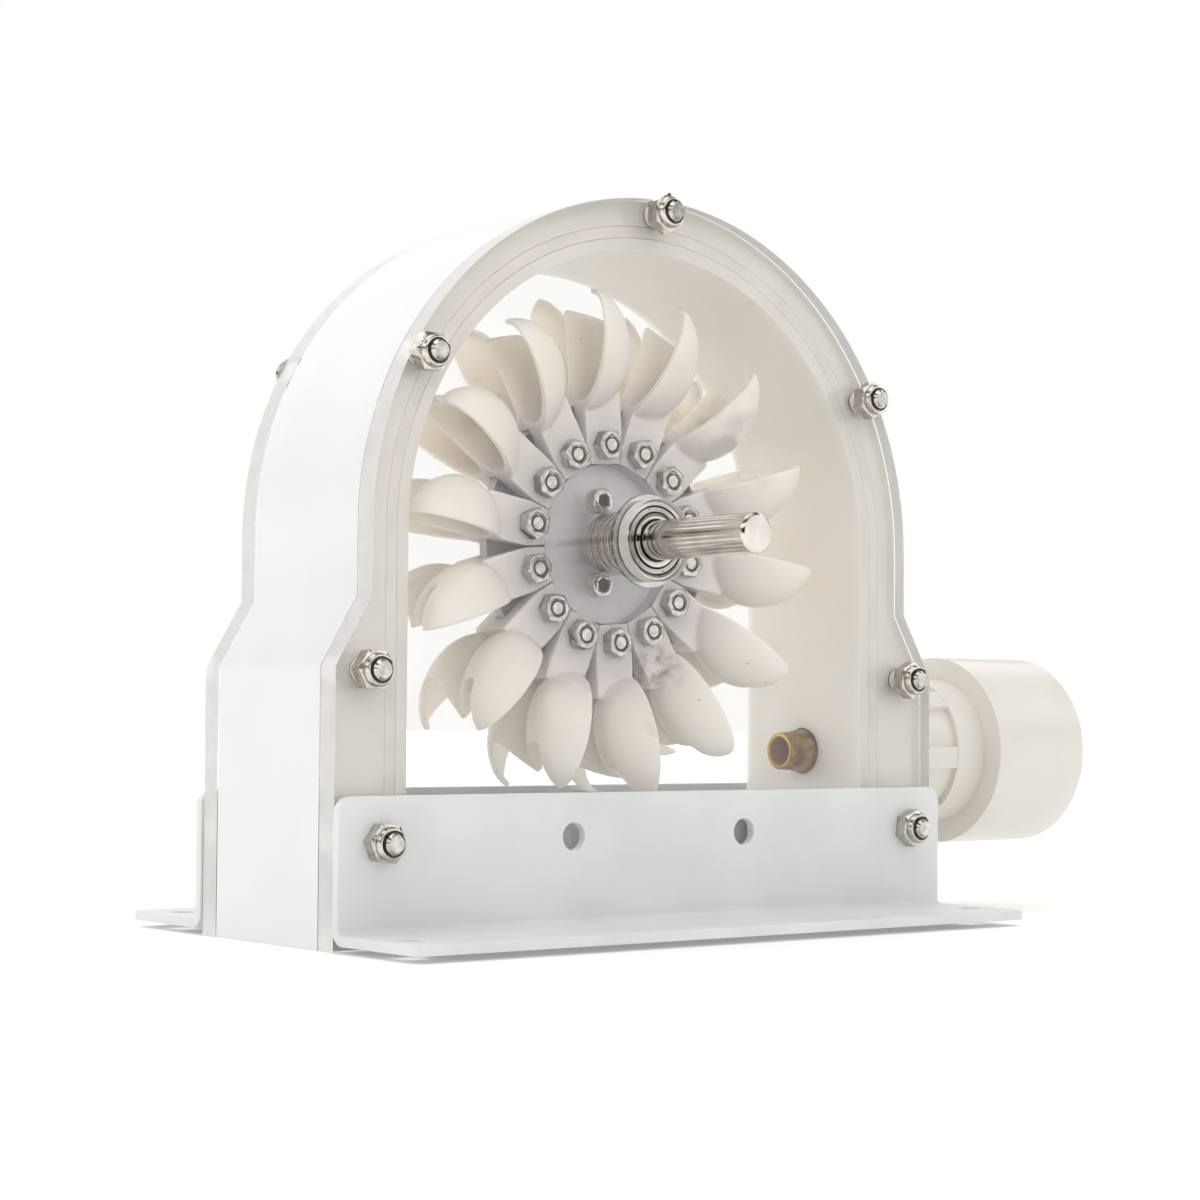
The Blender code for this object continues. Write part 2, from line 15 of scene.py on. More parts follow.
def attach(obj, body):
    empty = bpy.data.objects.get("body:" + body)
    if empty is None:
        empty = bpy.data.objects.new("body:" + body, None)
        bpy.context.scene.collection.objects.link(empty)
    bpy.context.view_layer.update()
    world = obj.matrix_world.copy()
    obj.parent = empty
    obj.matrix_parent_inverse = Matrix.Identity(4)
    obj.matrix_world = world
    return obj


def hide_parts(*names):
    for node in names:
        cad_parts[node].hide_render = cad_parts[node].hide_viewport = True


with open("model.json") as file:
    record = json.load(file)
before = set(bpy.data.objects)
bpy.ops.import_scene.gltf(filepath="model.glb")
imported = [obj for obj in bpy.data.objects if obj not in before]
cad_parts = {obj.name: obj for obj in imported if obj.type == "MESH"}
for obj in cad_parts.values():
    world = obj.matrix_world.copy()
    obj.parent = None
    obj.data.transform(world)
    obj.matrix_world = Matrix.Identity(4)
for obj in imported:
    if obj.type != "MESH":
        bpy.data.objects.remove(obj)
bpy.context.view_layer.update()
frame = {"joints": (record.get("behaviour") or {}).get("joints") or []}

MM = 0.001
AXIS = Vector(frame["joints"][0]["pos_m"])
GAP = 0.3 * MM
TINY = 0.001 * MM

# Casing and windows
CAVITY_RADIUS = 58.5 * MM
ARCH_RADIUS = 68.6 * MM
FOOT_HALF_WIDTH = 76.4 * MM
FOOT_TOP = 52.1 * MM
FLARE_TOP = 65.3 * MM
CASING_HALF_DEPTH = 18.5 * MM
WINDOW_THICKNESS = 5 * MM
WINDOW_FACE = CASING_HALF_DEPTH + WINDOW_THICKNESS
GROOVE_INNER = 61.0 * MM
GROOVE_OUTER = 63.5 * MM
GROOVE_DEPTH = 1.5 * MM
SEAL_THICKNESS = 1.2 * MM
SEAL_GAP = 0.05 * MM
CASING_FACE = CASING_HALF_DEPTH - GAP

# Angle feet
BRACKET_HALF_LENGTH = 76.9 * MM
BRACKET_THICKNESS = 2 * MM
BRACKET_TOP = 28.4 * MM
BRACKET_REACH = 51 * MM
BRACKET_LIFT = 1.3 * MM
BEND_RADIUS = 3 * MM
WEB_CORNER = 3.2 * MM
FLANGE_CORNER = 1.5 * MM
FOOT_HOLE_RADIUS = 2.65 * MM
WEB_HOLES = [(-23 * MM, 19.9 * MM), (20.8 * MM, 19.9 * MM)]
FLANGE_HOLES = [(-71 * MM, 40.5 * MM), (71 * MM, 40.5 * MM)]

# Through bolts, as (across, height above the ground)
WINDOW_BOLTS = [(0, 144.3 * MM), (-57.1 * MM, 111.1 * MM), (57.1 * MM, 111.1 * MM),
                (-69.1 * MM, 51.4 * MM), (69.1 * MM, 51.4 * MM)]
BRACKET_BOLTS = [(-67.6 * MM, 19.7 * MM), (67.6 * MM, 19.7 * MM)]
BOLT_RADIUS = 2 * MM
BOLT_HOLE_RADIUS = 2.2 * MM
THREAD_PITCH = 0.7 * MM
NUT_FLATS = 7 * MM
NUT_HEX_HEIGHT = 2.7 * MM
NUT_HEIGHT = 4.1 * MM
BOLT_PROUD = 1.2 * MM
BOLT_HEAD_RADIUS = 3.8 * MM
BOLT_HEAD_HEIGHT = 3 * MM
NUT_BORE = 2.35 * MM
NUT_COLLAR_RADIUS = 3.15 * MM
LOCK_RING_BORE = 2 * MM
LOCK_RING_RADIUS = 2.4 * MM
KEY_FLATS = 2.5 * MM
METAL_EDGE = 0.12 * MM

# Shaft and what is stacked along it
SHAFT_RADIUS = 4 * MM
SHAFT_FRONT = 53 * MM
SHAFT_BACK = 27.5 * MM
BEARING_RADIUS = 8 * MM
BEARING_FLANGE_RADIUS = 9.4 * MM
BEARING_FLANGE = 1 * MM
BEARING_FACE = WINDOW_FACE - 1 * MM
SHIELD_INNER_RADIUS = 5.7 * MM
SHIELD_OUTER_RADIUS = 7.1 * MM
SPACER_RADIUS = 6.5 * MM
SPACER_RINGS = 6
HUB_RADIUS = 16.45 * MM
HUB_FACE = 4.8 * MM
DISC_RADIUS = 28.3 * MM
DISC_HALF = 1.25 * MM

# Buckets, drawn with X outwards from the shaft, Y along the shaft and Z towards the cup's mouth
BUCKET_COUNT = 14
FIRST_BUCKET_ANGLE = math.radians(93.8)
CUP_CENTRE = 39.7 * MM
CUP_HALF_LENGTH = 12.3 * MM
CUP_START = 26 * MM
CUP_DEPTH = 11 * MM
CUP_SIDE = 6.2 * MM
CUP_HALF_WIDTH = 6.5 * MM
CUP_SPLAY = 0.20
CUP_NARROWING = 0.12
CUP_WALL = 1.1 * MM
CUP_ROOT_WALL = 2.2 * MM
RIM_HEIGHT = 4.6 * MM
LOBE_MIDDLE = 5.3 * MM
LOBE_OVERLAP = 0.9 * MM
SPLITTER_HALF_WIDTH = 0.4 * MM
SPLITTER_TIP = 48.6 * MM
NOTCH_VALLEY = 45.5 * MM
NOTCH_INNER_SIDE = 5 * MM
NOTCH_OUTER_SIDE = 8.4 * MM
LUG_INNER_RADIUS = 16.5 * MM
LUG_OUTER_RADIUS = 31.5 * MM
LUG_FACE = 5.2 * MM
LUG_MIDDLE_RADIUS = 20.6 * MM
LUG_HALF_INNER = 3.6 * MM
LUG_HALF_MIDDLE = 4.5 * MM
LUG_HALF_OUTER = 4.7 * MM

# Fasteners of the buckets and the hub
BUCKET_BOLT_RADIUS = 20.3 * MM
SMALL_NUT_FLATS = 5.5 * MM
SMALL_NUT_HEIGHT = 2.4 * MM
SMALL_NUT_BORE = 1.56 * MM
SMALL_BOLT_RADIUS = 1.5 * MM
SMALL_BOLT_PITCH = 0.5 * MM
SMALL_HEAD_RADIUS = 2.85 * MM
SMALL_HEAD_HEIGHT = 1.65 * MM
SMALL_KEY_FLATS = 2 * MM
CAP_SCREW_PLACES = [math.radians(angle) for angle in (0, 113, 247)]
CAP_SCREW_ORBIT = 9.3 * MM
CAP_SCREW_RADIUS = 2.6 * MM
CAP_SCREW_HEIGHT = 3.1 * MM
CAP_SCREW_KEY_FLOOR = 1.3 * MM

# Worn stains on the buckets: (across, up) from the axis, reach, colour and strength
RESIN_STAINS = [((12 * MM, -25 * MM), 6 * MM, "#7a675b", 0.9),
                ((30 * MM, 22 * MM), 13 * MM, "#a5a1a3", 0.6)]

# Jet and pipe fitting
JET_PLACE = Vector((AXIS.x, AXIS.y, 35.9 * MM))
NOZZLE_TIP = 51.7 * MM
NOZZLE_TIP_RADIUS = 4.05 * MM
NOZZLE_NECK = 4.2 * MM
NOZZLE_FLARE_START = 55.2 * MM
NOZZLE_FLARE_END = 57.7 * MM
NOZZLE_BORE = 2.95 * MM
NOZZLE_BODY = 4.7 * MM
NOZZLE_END = 88 * MM
FITTING_START = 76.7 * MM
FITTING_HUB = 15 * MM
FITTING_HUB_BORE = 9 * MM
COLLAR_START = 93.2 * MM
COLLAR_RADIUS = 16.3 * MM
RIB_REACH = 16.1 * MM
RIB_WIDTH = 4.8 * MM
RIB_THICKNESS = 4 * MM
RIB_COUNT = 7
FIRST_RIB_ANGLE = math.radians(95.2)
SOCKET_START = 101.5 * MM
SOCKET_END = 129 * MM
SOCKET_RADIUS = 21.2 * MM
SOCKET_BORE = 16 * MM
SOCKET_FLOOR = 104.5 * MM

# Smoothness of round shapes, in steps
ARCH_STEPS = 192
ROUND_STEPS = 72
SMALL_STEPS = 40
FASTENER_STEPS = 48

# How many times longer than wide the lathe's marks are
RING_STRETCH = 30

FORWARD = Vector((0, -1, 0))
RIGHT = Vector((1, 0, 0))


# Colours and nodes

def linear(hex_colour):
    """An sRGB hex value as linear red, green, blue and alpha."""
    channels = [int(hex_colour[i:i + 2], 16) / 255 for i in (1, 3, 5)]
    return (*[c / 12.92 if c <= 0.04045 else ((c + 0.055) / 1.055) ** 2.4 for c in channels], 1)


def add_node(tree, kind, sockets=None, stops=None, output=0, **settings):
    """Adds one shader node with its settings and gives one of its outputs. A socket's value is set, or
    linked where it is an output."""
    made = tree.nodes.new("ShaderNode" + kind)
    for name, value in settings.items():
        setattr(made, name, value)
    for name, value in (sockets or {}).items():
        if isinstance(value, bpy.types.NodeSocket):
            tree.links.new(value, made.inputs[name])
        else:
            made.inputs[name].default_value = value
    for index, (position, colour) in enumerate(stops or []):
        ramp = made.color_ramp.elements
        stop = ramp[index] if index < 2 else ramp.new(position)
        stop.position = position
        stop.color = colour
    return made.outputs[output]


def new_material(name, **sockets):
    """A material with one Principled shader, whose plain values are set on its own sockets."""
    material = bpy.data.materials.new(name)
    material.use_nodes = True
    tree = material.node_tree
    shader = tree.nodes["Principled BSDF"]
    for socket, value in sockets.items():
        shader.inputs[socket.replace("_", " ")].default_value = value
    return material, tree, shader, add_node(tree, "TexCoord", output="Object")


def tone(tree, place, size, first, second, detail=3, spread=(0.35, 0.65)):
    """A soft mix of two colours in patches of about the size."""
    noise = add_node(tree, "TexNoise", {"Vector": place, "Scale": 1 / size, "Detail": detail})
    return add_node(tree, "ValToRGB", {"Fac": noise},
                    stops=[(spread[0], linear(first)), (spread[1], linear(second))])


def grain(tree, shader, place, size, height, detail=2):
    """A fine bump of the given grain size and height."""
    noise = add_node(tree, "TexNoise", {"Vector": place, "Scale": 1 / size, "Detail": detail})
    bump = add_node(tree, "Bump", {"Height": noise, "Distance": height, "Strength": 1.0})
    tree.links.new(bump, shader.inputs["Normal"])
    return noise


def distance_from(tree, place, point):
    """How far each place lies from a point, as seen along the shaft."""
    outward = add_node(tree, "VectorMath", {0: place, 1: point}, operation="SUBTRACT")
    flat = add_node(tree, "VectorMath", {0: outward, 1: (1, 0, 1)}, operation="MULTIPLY")
    return add_node(tree, "VectorMath", {0: flat}, output="Value", operation="LENGTH")


def stain(tree, place, colour, middle, reach, shade, strength):
    """A blotchy stain over a colour, around a point given from the axis as (across, up)."""
    distance = distance_from(tree, place, AXIS + Vector((middle[0], 0, middle[1])))
    near = add_node(tree, "MapRange", {"Value": distance, "From Min": reach, "From Max": reach * 0.2})
    noise = add_node(tree, "TexNoise", {"Vector": place, "Scale": 2.5 / reach, "Detail": 5})
    blotch = add_node(tree, "MapRange", {"Value": noise, "From Min": 0.42, "From Max": 0.62,
                                         "To Max": strength})
    amount = add_node(tree, "Math", {0: near, 1: blotch}, operation="MULTIPLY")
    return add_node(tree, "MixRGB", {"Fac": amount, "Color1": colour, "Color2": linear(shade)})


def speckle(tree, place, colour, spacing, shade, size, strength):
    """Small dark dots over a colour, about the spacing apart and of the size given as a share of it."""
    cells = add_node(tree, "TexVoronoi", {"Vector": place, "Scale": 1 / spacing})
    dots = add_node(tree, "ValToRGB", {"Fac": cells},
                    stops=[(0.03, linear(shade)), (size, linear("#ffffff"))])
    return add_node(tree, "MixRGB", {"Fac": strength, "Color1": colour, "Color2": dots},
                    blend_type="MULTIPLY")


# Finishes

def plain_finish(name, patch, first, second, grit, height, detail=2, **sockets):
    """A material in soft patches of two colours, with a fine bump of the given grit and height."""
    material, tree, shader, place = new_material(name, **sockets)
    tree.links.new(tone(tree, place, patch, first, second), shader.inputs["Base Color"])
    grain(tree, shader, place, grit, height, detail)
    return material


def moulded_abs():
    """White ABS, moulded and then milled: satin, nearly white, with the faintest cloudiness."""
    return plain_finish("white_abs_moulded", 35 * MM, "#ebecee", "#e6e7e9", 0.6 * MM, 0.012 * MM,
                        Roughness=0.42, IOR=1.54)


def inside_abs():
    """The same ABS inside the arch: never handled, so glossier, and translucent; its colour is painted
    whiter and warmer than outside, as painted light inside the arch.
    """
    return plain_finish("white_abs_inside_painted_light", 30 * MM, "#f2ede5", "#ede7dd", 0.6 * MM, 0.012 * MM,
                        Roughness=0.35, IOR=1.54, Subsurface_Weight=0.6,
                        Subsurface_Radius=(1.0, 0.9, 0.75), Subsurface_Scale=8 * MM)


def milled_abs():
    """White ABS milled flat where it lies against the window: warmer and a shade darker than the moulded
    faces.
    """
    return plain_finish("white_abs_milled", 18 * MM, "#d4cfc8", "#cec8c0", 0.4 * MM, 0.01 * MM,
                        Roughness=0.5, IOR=1.54)


def cast_acrylic():
    """Clear cast acrylic, polished: glassy, with hardly any tint."""
    material, tree, shader, place = new_material(
        "clear_acrylic_cast", Roughness=0.0, IOR=1.49, Transmission_Weight=1.0,
        Base_Color=linear("#fdfdfc"))
    grain(tree, shader, place, 30 * MM, 0.004 * MM, detail=1)
    return material


def sawn_acrylic():
    """The sawn edge of clear acrylic: frosted by the saw, so it hardly shows through, with a faint white
    emission, a painted glow that makes it pale.
    """
    return plain_finish("clear_acrylic_sawn_edge", 4 * MM, "#f2f0ed", "#e9e7e3", 0.35 * MM, 0.03 * MM,
                        Roughness=0.5, IOR=1.49, Transmission_Weight=0.35,
                        Emission_Color=(1, 1, 1, 1), Emission_Strength=0.08)


def silicone():
    """White silicone seal strip: soft, matt and a little yellowed."""
    return plain_finish("white_silicone", 8 * MM, "#d4cec7", "#ccc6be", 0.5 * MM, 0.02 * MM,
                        Roughness=0.6, IOR=1.41)


def powder_coat():
    """Powder-coated aluminium: pale cool grey with the coat's slight orange peel."""
    return plain_finish("powder_coated_aluminium", 22 * MM, "#e5e7e5", "#dddfdd", 0.9 * MM, 0.018 * MM, 3,
                        Roughness=0.38, IOR=1.5, Coat_Weight=0.15, Coat_Roughness=0.25)


def turned_metal(name, first, second, roughness, line_spacing, line_height, axis="Y", patch=6 * MM):
    """Bare metal with the fine rings that a lathe or grinding wheel leaves around an axis."""
    material, tree, shader, place = new_material(name, Metallic=1.0, Roughness=roughness)
    tree.links.new(tone(tree, place, patch, first, second), shader.inputs["Base Color"])
    drawn_out = [1 if letter == axis else 1 / RING_STRETCH for letter in "XYZ"]
    lines = add_node(tree, "Mapping", {"Vector": place, "Scale": drawn_out})
    grain(tree, shader, lines, line_spacing, line_height)
    return material


def ground_steel():
    """Ground stainless bar: bright, with hair-fine rings from the grinding wheel."""
    return turned_metal("stainless_steel_ground", "#e0dbd4", "#cfcac3", 0.12, 0.25 * MM, 0.0012 * MM)


def bearing_steel():
    """Hardened chrome steel of the bearing rings: the brightest and smoothest metal here."""
    return turned_metal("bearing_steel_polished", "#d2cfca", "#bcb9b4", 0.08, 0.4 * MM, 0.0006 * MM)


def shield_steel():
    """Pressed steel of the bearing's shield: thin, and a little duller than the rings."""
    return turned_metal("bearing_shield_pressed", "#c2beb8", "#a8a49e", 0.22, 0.5 * MM, 0.002 * MM)


def plated_steel():
    """Nickel-plated steel of the nuts and bolts: warm silver with slight handling marks."""
    material, tree, shader, place = new_material("plated_steel", Metallic=1.0, Roughness=0.2)
    tree.links.new(tone(tree, place, 1.6 * MM, "#d6d1c9", "#b5b0a8"), shader.inputs["Base Color"])
    marks = grain(tree, shader, place, 0.8 * MM, 0.006 * MM, detail=4)
    spread = add_node(tree, "MapRange", {"Value": marks, "To Min": 0.06, "To Max": 0.24})
    tree.links.new(spread, shader.inputs["Roughness"])
    return material


def spacer_steel():
    """Turned washers stacked on the shaft: satin steel with clear turning rings."""
    return turned_metal("steel_turned_washers", "#e0dcd6", "#c4c0ba", 0.25, 0.3 * MM, 0.003 * MM)


def painted_shade_steel():
    """Nearly black steel with a dull shine: painted shade for threads, sockets and gaps, where shadow
    falls.
    """
    return plain_finish("steel_painted_shade", 0.8 * MM, "#524d48", "#35312d", 0.3 * MM, 0.01 * MM,
                        Metallic=0.6, Roughness=0.45)


def nylon_ring():
    """The nylon locking ring in a nut: dark grey and dull."""
    return plain_finish("nylon_grey", 1 * MM, "#8a8680", "#6d6963", 0.3 * MM, 0.01 * MM,
                        Roughness=0.55, IOR=1.53)


def hub_resin():
    """Grey printed resin of the hub: pale lilac grey, smooth, with small pits and scuffs."""
    material, tree, shader, place = new_material("grey_resin_printed", Roughness=0.4, IOR=1.5)
    colour = tone(tree, place, 7 * MM, "#cfc9ce", "#c5bfc5")
    pitted = speckle(tree, place, colour, 3.5 * MM, "#6b6769", 0.055, 0.6)
    tree.links.new(pitted, shader.inputs["Base Color"])
    grain(tree, shader, place, 0.5 * MM, 0.012 * MM)
    return material


def cast_resin(name, first, second):
    """Off-white cast resin of the buckets: waxy, with roots that turn greyer towards the shaft, partly
    their own grey and partly painted shade from the hub and bearings, and cups of the given colours, whose
    thin walls let light through. It has a few dark specks and grey smudges, and two worn stains."""
    material, tree, shader, place = new_material(
        name, Roughness=0.42, IOR=1.5, Subsurface_Weight=1.0,
        Subsurface_Radius=(1.0, 0.97, 0.93), Subsurface_Scale=3 * MM)
    cup = tone(tree, place, 14 * MM, first, second)
    # Roots greyer towards the shaft: partly the resin's own grey, partly painted shade from the hub and
    # bearings.
    root = tone(tree, place, 8 * MM, "#cfc9c8", "#c6c0bf")
    towards_cup = add_node(tree, "MapRange", {
        "Value": distance_from(tree, place, AXIS), "From Min": LUG_MIDDLE_RADIUS, "From Max": CUP_CENTRE},
        interpolation_type="SMOOTHSTEP")
    colour = add_node(tree, "MixRGB", {"Fac": towards_cup, "Color1": root, "Color2": cup})
    smudge = tone(tree, place, 9 * MM, "#d8d2cf", "#ffffff", detail=4, spread=(0.28, 0.36))
    dusty = add_node(tree, "MixRGB", {"Fac": 0.35, "Color1": colour, "Color2": smudge},
                     blend_type="MULTIPLY")
    worn = speckle(tree, place, dusty, 5.5 * MM, "#5f564d", 0.05, 0.55)
    for middle, reach, shade, strength in RESIN_STAINS:
        worn = stain(tree, place, worn, middle, reach, shade, strength)
    tree.links.new(worn, shader.inputs["Base Color"])
    grain(tree, shader, place, 1.4 * MM, 0.03 * MM, detail=3)
    return material


def outside_resin():
    """The cast resin on the backs of the cups: cooler and a shade darker than the copy inside the cups."""
    return cast_resin("cast_resin_outside", "#e2dcd5", "#dcd5cd")


def inside_resin():
    """The cast resin inside the cups: painted warmer and lighter than the backs, as painted light for the
    light that comes through the walls.
    """
    return cast_resin("cast_resin_inside_painted_light", "#eee5da", "#e7dfd3")


def bright_brass():
    """Brass of the jet's mouth, rubbed bright: yellow, with fine rings."""
    return turned_metal("brass_turned", "#c9a258", "#a67f3c", 0.24, 0.3 * MM, 0.004 * MM, axis="X")


def tarnished_brass():
    """Old brass of the jet's outside: browned by water, patchy and duller than the mouth."""
    return turned_metal("brass_tarnished", "#b38d56", "#6b5031", 0.34, 0.5 * MM, 0.006 * MM, axis="X",
                        patch=2.5 * MM)


def brown_brass():
    """Brass inside the jet's bore, under a brown film left by the water: dull and warm."""
    return plain_finish("brass_filmed", 3 * MM, "#cf9a6a", "#a87a54", 0.4 * MM, 0.01 * MM,
                        Metallic=0.2, Roughness=0.45)


def moulded_pvc():
    """Ivory PVC of the pipe fitting: moulded, slightly glossy and warm."""
    return plain_finish("ivory_pvc_moulded", 30 * MM, "#e4dfd7", "#dcd7ce", 1.8 * MM, 0.02 * MM,
                        Roughness=0.3, IOR=1.53)


# Ways of working

def only(piece):
    """Makes this the one selected object."""
    bpy.ops.object.select_all(action="DESELECT")
    piece.select_set(True)
    bpy.context.view_layer.objects.active = piece


def start(name, add, **how):
    """Adds a primitive, names it, applies its place and goes into edit mode with all of it selected."""
    bpy.ops.object.select_all(action="DESELECT")
    add(**how)
    piece = bpy.context.active_object
    piece.name = name
    piece.data.name = name
    bpy.ops.object.transform_apply(location=True, rotation=True, scale=True)
    bpy.ops.object.mode_set(mode="EDIT")
    bpy.ops.mesh.select_mode(type="VERT")
    return piece


def choose(piece, kind, test):
    """In edit mode, selects only the faces, or only the edges, that pass the test."""
    bpy.ops.mesh.select_mode(type=kind)
    bpy.ops.mesh.select_all(action="DESELECT")
    shape = bmesh.from_edit_mesh(piece.data)
    for part in shape.faces if kind == "FACE" else shape.edges:
        part.select_set(test(part))
    bmesh.update_edit_mesh(piece.data)


def choose_faces(piece, test):
    """Selects the faces whose middle and normal pass the test."""
    choose(piece, "FACE", lambda face: test(face.calc_center_median(), face.normal))


def choose_edges(piece, test):
    """Selects the edges whose two ends pass the test."""
    choose(piece, "EDGE", lambda edge: test(edge.verts[0].co, edge.verts[1].co))


def draw(points):
    """In edit mode, extrudes the chosen point from the first point along all the others."""
    for last, point in zip(points, points[1:]):
        bpy.ops.mesh.extrude_vertices_move(TRANSFORM_OT_translate={"value": point - last})


def extrude(value):
    bpy.ops.mesh.extrude_region_move(TRANSFORM_OT_translate={"value": value})


def done():
    bpy.ops.object.mode_set(mode="OBJECT")


def apply_step(piece, kind, **settings):
    """Adds a modifier with its settings and applies it."""
    only(piece)
    step = piece.modifiers.new(kind.lower(), kind)
    for name, value in settings.items():
        setattr(step, name, value)
    bpy.ops.object.modifier_apply(modifier=step.name)


def discard(*pieces):
    for piece in pieces:
        bpy.data.objects.remove(piece, do_unlink=True)


def cut(piece, tool, operation="DIFFERENCE"):
    """Cuts, joins or trims a piece with a tool, which is then thrown away."""
    apply_step(piece, "BOOLEAN", operation=operation, solver="EXACT", object=tool)
    discard(tool)


def round_edges(piece, width, segments=3, degrees=35):
    """Rounds the sharp edges and keeps the flat faces flat to the eye."""
    apply_step(piece, "BEVEL", width=width, segments=segments, limit_method="ANGLE",
               angle_limit=math.radians(degrees))
    only(piece)
    bpy.ops.object.shade_smooth()
    apply_step(piece, "WEIGHTED_NORMAL", keep_sharp=True, weight=100)


def smooth(piece, degrees=35):
    only(piece)
    bpy.ops.object.shade_smooth_by_angle(angle=math.radians(degrees))


def finish_by(piece, materials, number_of):
    """Gives each face the finish whose number is chosen from the face's middle and normal."""
    for material in materials:
        piece.data.materials.append(material)
    for face in piece.data.polygons:
        face.material_index = number_of(face.center, face.normal)


def hand_over(piece, body, material, replaced=()):
    """Gives a finished piece its material, unless it has one, and its body, and hides the CAD nodes it
    stands for.
    """
    if not piece.data.materials:
        piece.data.materials.append(material)
    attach(piece, body)
    if replaced:
        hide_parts(*replaced)


def copy_of(piece, name, move):
    """A copy with its own mesh, moved by a matrix."""
    twin = piece.copy()
    twin.data = piece.data.copy()
    twin.name = name
    twin.data.name = name
    bpy.context.scene.collection.objects.link(twin)
    twin.data.transform(move)
    return twin


def bucket_angle(index):
    return FIRST_BUCKET_ANGLE + index * 2 * math.pi / BUCKET_COUNT


def about_axis(angle):
    """A turn about the shaft, anticlockwise as seen from the front."""
    return Matrix.Translation(AXIS) @ Matrix.Rotation(-angle, 4, "Y") @ Matrix.Translation(-AXIS)


def to_back():
    """Half a turn about the upright line through the middle of the casing."""
    return Matrix.Translation(AXIS) @ Matrix.Rotation(math.pi, 4, "Z") @ Matrix.Translation(-AXIS)


def hand_over_pair(piece, body, material, node=None):
    """Hands over a front piece and a copy at the back, for the front and back CAD nodes of that name."""
    twin = copy_of(piece, piece.name.replace("front", "back"), to_back())
    for side, one in (("front_", piece), ("back_", twin)):
        hand_over(one, body, material, [side + node] if node else [])


def box(name, size, middle):
    """A box of the given size about its middle, left in edit mode."""
    return start(name, bpy.ops.mesh.primitive_cube_add, size=1, scale=size, location=middle)


def turned(name, profile, centre=AXIS, forward=FORWARD, steps=ROUND_STEPS):
    """A profile of (radius, distance forward) points, drawn by extruding one point and then spun.
    It is closed along the axis where it starts and ends there, or else from its end to its start."""
    side = Vector((0, 0, 1))
    piece = start(name, bpy.ops.mesh.primitive_plane_add, size=MM, location=centre)
    bpy.ops.mesh.merge(type="CENTER")
    points = [side * radius + forward * along for radius, along in profile]
    bpy.ops.transform.translate(value=points[0])
    draw(points)
    if profile[0][0] > 0 or profile[-1][0] > 0:
        shape = bmesh.from_edit_mesh(piece.data)
        shape.verts.ensure_lookup_table()
        ends = {shape.verts[0], shape.verts[-1]}
        for vert in shape.verts:
            vert.select_set(vert in ends)
        bmesh.update_edit_mesh(piece.data)
        bpy.ops.mesh.edge_face_add()
    bpy.ops.mesh.select_all(action="SELECT")
    bpy.ops.mesh.spin(steps=steps, angle=2 * math.pi, center=centre, axis=forward)
    bpy.ops.mesh.select_all(action="SELECT")
    bpy.ops.mesh.remove_doubles(threshold=TINY)
    bpy.ops.mesh.normals_make_consistent(inside=False)
    done()
    return piece


def rods(name, places, radius, near, far, steps=SMALL_STEPS):
    """Equal round tools along Y, one at each (across, height), between two depths."""
    tools = []
    for across, height in places:
        bpy.ops.object.select_all(action="DESELECT")
        bpy.ops.mesh.primitive_cylinder_add(vertices=steps, radius=radius, depth=far - near,
                                            location=(AXIS.x + across, AXIS.y + (near + far) / 2, height),
                                            rotation=(math.pi / 2, 0, 0))
        tools.append(bpy.context.active_object)
    only(tools[0])
    for tool in tools:
        tool.select_set(True)
    bpy.ops.object.join()
    bpy.ops.object.transform_apply(location=True, rotation=True, scale=True)
    tools[0].name = name
    return tools[0]


# Casing, seals and windows

def arch_slab(name, radius, near, far, levels):
    """A solid arch: the top half of a disc, pulled down to each level and widened there."""
    middle = AXIS + Vector((0, (near + far) / 2, 0))
    piece = start(name, bpy.ops.mesh.primitive_cylinder_add, vertices=ARCH_STEPS, radius=radius,
                  depth=far - near, location=middle, rotation=(math.pi / 2, 0, 0))
    bpy.ops.mesh.bisect(plane_co=AXIS, plane_no=(0, 0, 1), use_fill=True, clear_inner=True)
    choose_faces(piece, lambda place, normal: normal.z < -0.9)
    height = AXIS.z
    for level, widening in levels:
        extrude((0, 0, level - height))
        bpy.ops.transform.resize(value=(widening, 1, 1), center_override=AXIS)
        height = level
    done()
    return piece


def outer_slab(name, near, far):
    """The outside shape that the casing and both windows share."""
    flare = FOOT_HALF_WIDTH / ARCH_RADIUS
    return arch_slab(name, ARCH_RADIUS, near, far, [(FLARE_TOP, 1), (FOOT_TOP, flare), (0, 1)])


def bolt_holes(name, near, far):
    return rods(name, WINDOW_BOLTS + BRACKET_BOLTS, BOLT_HOLE_RADIUS, near, far)


def ring_slab(name, inner, outer, near, far, ground):
    """An arch-shaped strip between two radii, with straight legs down to the ground."""
    strip = arch_slab(name, outer, near, far, [(ground, 1)])
    cut(strip, arch_slab("inside", inner, near - MM, far + MM, [(ground - MM, 1)]))
    return strip


